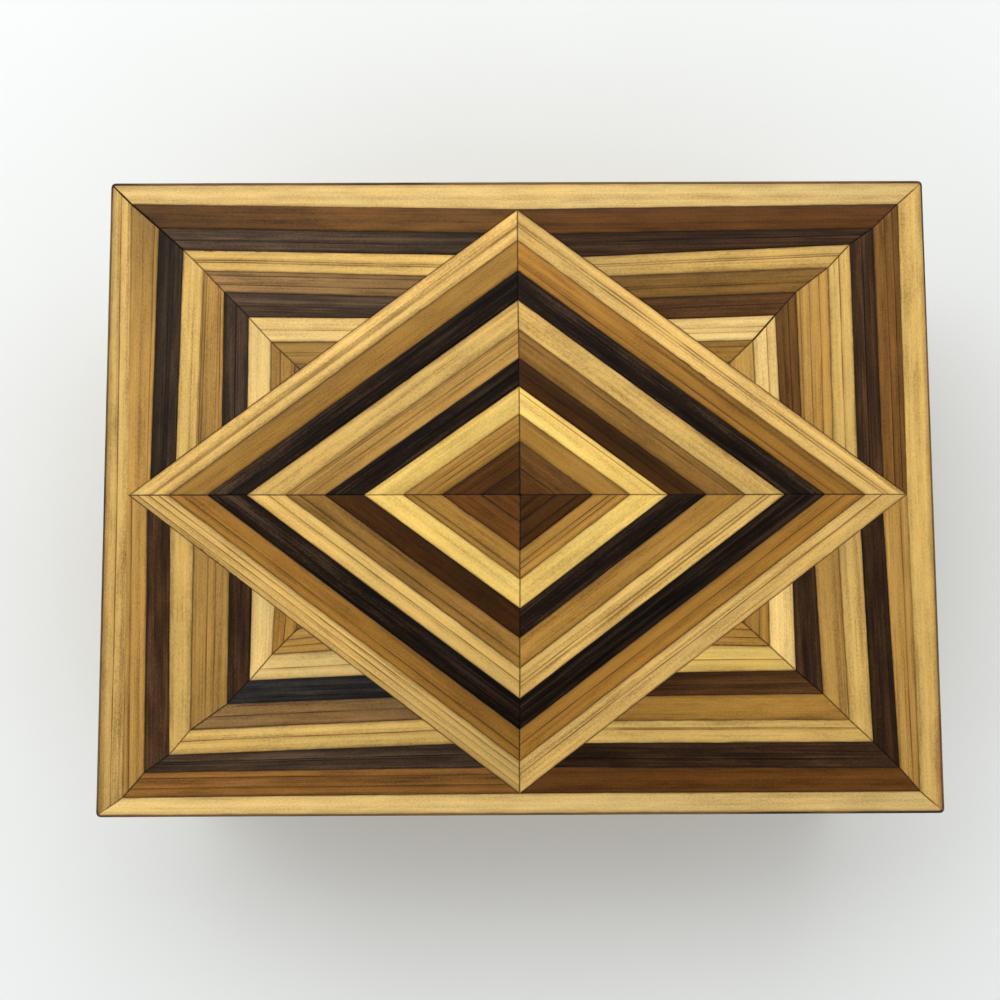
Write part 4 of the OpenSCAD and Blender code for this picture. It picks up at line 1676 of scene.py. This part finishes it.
def softened(node: str, name: str, radius: float, least_edge: float,
             materials: Sequence[bpy.types.Material],
             glued_side: Sequence[float] = (0, 0, 0)) -> bpy.types.Object:
    """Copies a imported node, merges its triangles and breaks its arrises.

    Args:
        node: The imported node.
        name: The new piece's name.
        radius: How much is taken off each arris.
        least_edge: The shortest edge that is broken.
        materials: The finish, and that of the side where strips are glued on, if there is one.
        glued_side: The direction that this side looks in, or zeros for none.

    Returns:
        The piece.
    """
    flat, arris = math.radians(0.5), math.radians(40)
    model = bmesh.new()
    model.from_mesh(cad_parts[node].data)
    bmesh.ops.remove_doubles(model, verts=model.verts, dist=SAME_POINT * 10)
    bmesh.ops.dissolve_limit(model, angle_limit=flat, verts=model.verts, edges=model.edges)
    bmesh.ops.recalc_face_normals(model, faces=model.faces)
    arrises = [edge for edge in model.edges
               if edge.is_manifold and edge.calc_face_angle(0.0) > arris
               and edge.calc_length() > least_edge]
    bmesh.ops.bevel(model, geom=arrises, offset=radius, segments=2, profile=0.5, affect="EDGES",
                    clamp_overlap=True)
    for face in model.faces:
        face.smooth = True
        if face.normal.dot(Vector(glued_side)) > 0.9:
            face.material_index = 1
    bmesh.ops.triangulate(model, faces=[face for face in model.faces if len(face.verts) > 4])
    return finished(model, name, *materials, sharp_deg=50)


@dataclass
class Carcass:
    """The boards under the strips: the lid's board, the base and the four walls.

    Attributes:
        arris: How much is taken off the boards' arrises.
        least_edge: The shortest edge that is broken.
    """

    arris: float = 0.25 * MM
    least_edge: float = 3 * MM

    # Each board's body, the way of its grain, and the direction that its glued side looks in
    boards = {"lid_board": ("lid", Grain.ALONG_X, (0, 0, 1)),
              "base_board": ("box", Grain.ALONG_X, (0, 0, 0)),
              "front_wall": ("box", Grain.ALONG_X, (0, -1, 0)),
              "back_wall": ("box", Grain.ALONG_X, (0, 1, 0)),
              "left_wall": ("box", Grain.ALONG_Y, (-1, 0, 0)),
              "right_wall": ("box", Grain.ALONG_Y, (1, 0, 0))}

    def build(self) -> None:
        """Builds the boards."""
        for node, (body, grain, glued_side) in self.boards.items():
            finishes = (BOARD.on_board(grain), GLUED.on_board(Grain.ALONG_X))
            piece = softened(node, f"{node}_soft", self.arris, self.least_edge, finishes,
                             glued_side)
            dress(piece, body, "board_wood", node)


@dataclass
class EdgeBanding:
    """Thin banding round a board, with round upright corners and a rubbed upper arris.

    Attributes:
        node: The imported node.
        body: The body that it rides on.
        inner: The corners of its inner edge on top, clockwise from the top left.
        corner_r: The radius of the upright corners.
        arris: The radius of the upper arris.
        inner_drop: How much lower its inner edge lies than its top.
        dark_corner: How far from a corner the stain lies thick.
        unevenness: How far the arris wanders.
        waves: How many times to a metre it does.
        corner_steps: Faces round a corner.
        side_steps: Faces along a side.
        arris_steps: Faces round the upper arris.
    """

    node: str
    body: str
    inner: Sequence[Vector]
    corner_r: float = 1.1 * MM
    arris: float = 0.4 * MM
    inner_drop: float = 0.02 * MM
    dark_corner: float = 12 * MM
    unevenness: float = 0.05 * MM
    waves: float = 170
    corner_steps: int = 6
    side_steps: int = 40
    arris_steps: int = 3

    def build(self) -> None:
        """Builds the banding."""
        lo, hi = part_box(self.node)
        outer = box_corners(self.node)
        # Each row: its corners, how far in from them it lies, its height and how worn it is
        rows = [(outer, 0.0, lo.z, 0.0), (outer, 0.0, hi.z - self.arris * 1.6, 0.1)]
        for i in range(self.arris_steps + 1):
            turn = math.radians(90 * i / self.arris_steps)
            rows.append((outer, self.arris * (1 - math.cos(turn)),
                         hi.z - self.arris * (1 - math.sin(turn)), 0.4 + 0.5 * math.sin(turn)))
        rows += [(self.inner, 0.0, hi.z - self.inner_drop, 0.6), (self.inner, 0.0, lo.z, 0.0)]
        model = bmesh.new()
        wear = model.verts.layers.float.new("wear")
        loops = [self._loop(model, wear, *row) for row in rows]
        for first, second in zip(loops, loops[1:] + loops[:1]):
            for i in range(len(first)):
                j = (i + 1) % len(first)
                model.faces.new((first[i], first[j], second[j], second[i])).smooth = True
        bmesh.ops.recalc_face_normals(model, faces=model.faces)
        piece = finished(model, f"{self.node}_stained", StainedEdge().material(), sharp_deg=50)
        dress(piece, self.body, "dark_wood", self.node)

    def _loop(self, model: bmesh.types.BMesh, wear: object, corners: Sequence[Vector],
              inset: float, z: float, worn: float) -> list[bmesh.types.BMVert]:
        """Adds the points of one loop.

        Args:
            model: Takes the points.
            wear: The layer that holds how worn a point is.
            corners: The loop's corners.
            inset: How far in from them it lies.
            z: Its height.
            worn: How worn it is.

        Returns:
            The points.
        """
        middle = sum(corners, Vector()) / 4
        inner = [Vector((corner.x - math.copysign(inset, corner.x - middle.x),
                         corner.y - math.copysign(inset, corner.y - middle.y), 0))
                 for corner in corners]
        points = []
        for i, corner in enumerate(inner):
            ahead = inner[(i + 1) % 4]
            before = (inner[i - 1] - corner).normalized() * self.corner_r
            after = (ahead - corner).normalized() * self.corner_r
            for step in range(self.corner_steps + 1):
                t = step / self.corner_steps
                points.append(corner + before * (1 - t) ** 2 + after * t ** 2)
            points += [(corner + after).lerp(ahead - after, step / self.side_steps)
                       for step in range(1, self.side_steps)]
        made = []
        for point in points:
            rough = noise.noise(Vector((*point.xy, z)) * self.waves) * self.unevenness * worn
            inwards = (middle - point).normalized() * abs(rough)
            vertex = model.verts.new((point.x + inwards.x, point.y + inwards.y, z))
            to_corner = min((point - corner).length for corner in inner)
            vertex[wear] = worn * (0.5 + 0.5 * min(to_corner / self.dark_corner, 1.0))
            made.append(vertex)
        return made


@dataclass
class Lining:
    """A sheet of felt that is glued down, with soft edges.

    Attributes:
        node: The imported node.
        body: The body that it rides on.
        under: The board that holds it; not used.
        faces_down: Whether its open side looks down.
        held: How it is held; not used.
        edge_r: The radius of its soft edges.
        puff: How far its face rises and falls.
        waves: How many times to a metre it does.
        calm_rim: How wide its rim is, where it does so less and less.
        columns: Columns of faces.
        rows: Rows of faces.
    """

    node: str
    body: str
    under: str
    faces_down: bool = False
    held: str = "laid"
    edge_r: float = 0.45 * MM
    puff: float = 0.12 * MM
    waves: float = 60
    calm_rim: float = 3 * MM
    columns: int = 60
    rows: int = 44

    def build(self) -> None:
        """Builds the lining."""
        lo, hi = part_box(self.node)
        half, middle = (hi - lo) / 2, (hi + lo) / 2
        model = bmesh.new()
        bmesh.ops.create_grid(model, x_segments=self.columns, y_segments=self.rows, size=1.0)
        for vertex in model.verts:
            x, y = (half[i] * math.sin(vertex.co[i] * math.pi / 2) for i in (0, 1))
            to_edge = min(half.x - abs(x), half.y - abs(y))
            drop = self.edge_r * (1 - min(to_edge / self.edge_r, 1.0)) ** 2
            ripple = self.puff * (0.5 + 0.5 * noise.noise(Vector((x, y, 0)) * self.waves))
            vertex.co = (x, y, half.z - drop - ripple * min(to_edge / self.calm_rim, 1.0))
        lower = bmesh.ops.extrude_face_region(model, geom=model.faces[:])["geom"]
        for item in lower:
            if isinstance(item, bmesh.types.BMVert):
                item.co.z = -half.z
        for vertex in model.verts:
            x, y, z = vertex.co
            vertex.co = middle + Vector((x, y, -z if self.faces_down else z))
        bmesh.ops.recalc_face_normals(model, faces=model.faces)
        for face in model.faces:
            face.smooth = True
        piece = finished(model, f"{self.node}_felt", FeltFinish().material(), sharp_deg=60)
        dress(piece, self.body, "felt", self.node)


@dataclass
class Hinges:
    """Two brass butt hinges with their pins and slotted screws.

    Attributes:
        arris: How much is taken off the brass arrises.
        least_edge: The shortest brass edge that is broken.
        head_r: The radius of a screw's head.
        head_h: The depth of its countersunk head.
        shank_r: The radius of its shank.
        length: The length of a screw.
        threads: The turns of its thread.
        point_h: How much of its end has no thread.
        slot_w: The width and depth of its slot.
        screw_edge: From a leaf's inner edge to its screws.
        screw_end: From a leaf's end to its screws.
        turns: Faces round a screw.
        seed: Fixes how the slots are turned.
    """

    arris: float = 0.06 * MM
    least_edge: float = 0.15 * MM
    head_r: float = 1.3 * MM
    head_h: float = 0.7 * MM
    shank_r: float = 0.6 * MM
    length: float = 6 * MM
    threads: int = 7
    point_h: float = 1.2 * MM
    slot_w: float = 0.3 * MM
    screw_edge: float = 2.4 * MM
    screw_end: float = 3.5 * MM
    turns: int = 32
    seed: int = 5

    def build(self) -> None:
        """Builds the leaves, the pins and the screws."""
        brass = BrassFinish().material()
        for side in ("left", "right"):
            for node, body in ((f"lower_leaf_{side}", "box"), (f"hinge_pin_{side}", "box"),
                               (f"upper_leaf_{side}", "lid")):
                piece = softened(node, f"{node}_brass", self.arris, self.least_edge, (brass,))
                dress(piece, body, "brass", node)
        chance = random.Random(self.seed)
        dress(self._screws("lower_leaf", False, chance), "box", "brass", "lower_leaf_screws")
        dress(self._screws("upper_leaf", True, chance), "lid", "brass", "upper_leaf_screws")

    def _screw(self) -> bpy.types.Object:
        """Turns one slotted screw, whose head lies level with the origin.

        Returns:
            The screw, an object that is only a source of instances.
        """
        profile = [(0.0, 0.0), (0.55 * self.head_r, 0.0), (0.96 * self.head_r, -0.005 * MM),
                   (self.head_r, -0.05 * MM), (self.shank_r, -self.head_h)]
        pitch = (self.length - self.head_h - self.point_h) / self.threads
        for i in range(self.threads):
            z = -self.head_h - i * pitch
            profile += [(self.shank_r * 0.78, z - pitch * 0.35), (self.shank_r, z - pitch)]
        profile += [(0.0, -self.length)]
        model = bmesh.new()
        line = [model.verts.new((r, 0, z)) for r, z in profile]
        edges = [model.edges.new(pair) for pair in zip(line, line[1:])]
        bmesh.ops.spin(model, geom=line + edges, axis=UP, cent=(0, 0, 0), dvec=(0, 0, 0),
                       angle=math.tau, steps=self.turns)
        bmesh.ops.remove_doubles(model, verts=model.verts, dist=SAME_POINT)
        bmesh.ops.recalc_face_normals(model, faces=model.faces)
        half = self.slot_w / 2
        sink_groove(model, 1, -half, half, -self.slot_w, lambda place: place.z > -2 * self.slot_w)
        # Old dirt and painted shade: darker with depth in the slot.
        soil = model.verts.layers.float.new("soil")
        for vertex in model.verts:
            vertex[soil] = min(-vertex.co.z / self.slot_w, 1.0)
        for face in model.faces:
            face.smooth = True
        return finished(model, "screw_pattern", sharp_deg=40)

    def _screws(self, leaf: str, turned: bool, chance: random.Random) -> bpy.types.Object:
        """Drives the screws of two leaves.

        Args:
            leaf: What the names of the leaves begin with.
            turned: Whether the heads look down.
            chance: Draws how the slots are turned.

        Returns:
            The screws as one piece.
        """
        lo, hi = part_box(f"{leaf}_screws")
        places, turns = [], []
        for side in ("left", "right"):
            leaf_lo, leaf_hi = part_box(f"{leaf}_{side}")
            for x in (leaf_lo.x + self.screw_end, leaf_hi.x - self.screw_end):
                places.append((x, leaf_lo.y + self.screw_edge, lo.z if turned else hi.z))
                turns.append((math.pi if turned else 0.0, 0.0, chance.uniform(0, math.pi)))
        pattern = self._screw()
        piece = grown(screw_tree(), f"{leaf}_screws_brass", places, {"turn": turns},
                      {"Screw": pattern, "Brass": BrassFinish().material()})
        bpy.data.objects.remove(pattern)
        return piece


@cache
def screw_tree() -> bpy.types.NodeTree:
    """Builds the tree that drives a screw at each point of a plan.

    Returns:
        The tree.
    """
    pen, given = new_tree("driven_screws", {"Plan": "Geometry", "Screw": "Object",
                                            "Brass": "Material"})
    screw = pen.add("GeometryNodeObjectInfo", {"Object": given["Screw"]})
    placed = pen.add("GeometryNodeInstanceOnPoints",
                     {"Points": given["Plan"], "Instance": screw.outputs["Geometry"],
                      "Rotation": carried(pen, "turn")})
    real = pen.add("GeometryNodeRealizeInstances", {0: placed.outputs[0]})
    dressed = pen.add("GeometryNodeSetMaterial", {"Geometry": real.outputs[0],
                                                  "Material": given["Brass"]})
    pen.add("NodeGroupOutput", {0: dressed.outputs[0]})
    return pen.tree


@dataclass(frozen=True)
class SoftLamp:
    """A large soft lamp that looks at the box.

    Attributes:
        name: Its name.
        at: Where it stands.
        width: Its width.
        depth: Its depth.
        watts: Its power.
    """

    name: str
    at: tuple[float, float, float]
    width: float
    depth: float
    watts: float

    def stand(self) -> None:
        """Puts the lamp into the scene."""
        lamp = bpy.data.lights.new(self.name, "AREA")
        lamp.shape = "RECTANGLE"
        lamp.size = self.width
        lamp.size_y = self.depth
        lamp.energy = self.watts
        held = linked(self.name, lamp)
        held.location = self.at
        held.rotation_euler = Vector(self.at).to_track_quat("Z", "Y").to_euler()


@dataclass
class Studio:
    """A plain pale floor, soft light and the camera above the lid.

    Attributes:
        camera_at: Where the camera stands.
        camera_turn: How it is turned, in degrees.
        lens_mm: Its focal length on a sensor 36 mm wide.
        floor_half: Half of the floor's width.
        floor_tone: The colour of the floor.
        floor_fades: From where to where it turns into the pale background, from the middle.
        sky: How bright the light from all round is.
        overhead: How bright it is straight above, where the camera keeps the light off.
        overhead_from: From where to where the sky changes, as the sine of its height.
        lamps: The lamps.
    """

    camera_at: tuple[float, float, float] = (-0.0051, -0.0278, 0.3357)
    camera_turn: tuple[float, float, float] = (5.407, -0.201, -0.257)
    lens_mm: float = 46.8
    floor_half: float = 2.4
    floor_tone: str = "F1F4F3"
    floor_fades: Pair = (0.7, 2.0)
    sky: float = 0.93
    overhead: float = 0.12
    overhead_from: Pair = (0.72, 0.95)
    lamps: tuple[SoftLamp, ...] = (SoftLamp("window", (-0.15, 0.55, 0.85), 1.3, 0.7, 5.4),
                                   SoftLamp("side_lamp", (-0.9, 0.1, 0.5), 0.8, 0.5, 0.8))

    def build(self) -> None:
        """Builds the camera, the light and the floor."""
        bpy.context.scene.view_settings.view_transform = "Standard"
        self._camera()
        self._light()
        self._floor()

    def _camera(self) -> None:
        """Sets up the camera."""
        lens = bpy.data.cameras.new("lens")
        lens.sensor_fit = "HORIZONTAL"
        lens.sensor_width = 36.0
        lens.lens = self.lens_mm
        lens.clip_start = 0.01
        camera = linked("camera", lens)
        camera.location = self.camera_at
        camera.rotation_euler = [math.radians(angle) for angle in self.camera_turn]
        bpy.context.scene.camera = camera

    def _light(self) -> None:
        """Sets up the light from all round and the lamps."""
        world = bpy.data.worlds.new("sky")
        world.use_nodes = True
        pen = NodePen(world.node_tree)
        way = pen.split(pen.add("ShaderNodeTexCoord").outputs["Generated"])
        above = pen.rest(pen.fade(way[2], *self.overhead_from))
        sky = pen.tree.nodes["Background"].inputs
        pen.join(sky["Strength"], pen.math("MULTIPLY_ADD", above, self.overhead - self.sky,
                                           self.sky))
        pen.join(sky["Color"], (1, 1, 1, 1))
        bpy.context.scene.world = world
        for lamp in self.lamps:
            lamp.stand()

    def _floor(self) -> None:
        """Lays the pale floor, which turns into the background far from the box."""
        mesh = bpy.data.meshes.new("floor")
        s = self.floor_half
        mesh.from_pydata([(-s, -s, 0), (s, -s, 0), (s, s, 0), (-s, s, 0)], [], [(0, 1, 2, 3)])
        pen = FinishPen("pale_floor")
        where = pen.add("ShaderNodeTexCoord").outputs["Object"]
        cloud = pen.streaks(pen.scaled(where, 1 / MM), 90.0, 90.0)
        tone = linear_colour(self.floor_tone)
        pen.fill({"Base Color": pen.blend_colour(cloud, tone * 0.97, tone * 1.03),
                  "Roughness": pen.total(0.8, pen.swing(cloud, 0.1)), "Specular IOR Level": 0.2})
        near = pen.fade(pen.vector("LENGTH", where), *self.floor_fades)
        glow = pen.add("ShaderNodeEmission", {"Strength": self.sky})
        both = pen.add("ShaderNodeMixShader", {0: near, 1: glow.outputs[0],
                                               2: pen.surface.outputs[0]})
        pen.join(pen.tree.nodes["Material Output"].inputs["Surface"], both.outputs[0])
        mesh.materials.append(pen.material)
        linked("floor", mesh)


def main() -> None:
    """Builds the studio and every piece of the box."""
    logging.basicConfig(level=logging.INFO, format="%(name)s: %(message)s")
    Studio().build()
    layer = StripLayer()
    lid = LidPattern(layer)
    lid.build()
    WallPattern(layer).build()
    Carcass().build()
    lid_inner = [strip.outer[0] for strip in lid.border()]
    EdgeBanding("lid_edge_banding", "lid", lid_inner).build()
    EdgeBanding("base_edge_banding", "box", box_corners("base_board")).build()
    Lining("base_lining", "box", "base_board").build()
    Lining("lid_lining", "lid", "lid_board", faces_down=True, held="stretched").build()
    Hinges().build()


if __name__ == "__main__":
    main()
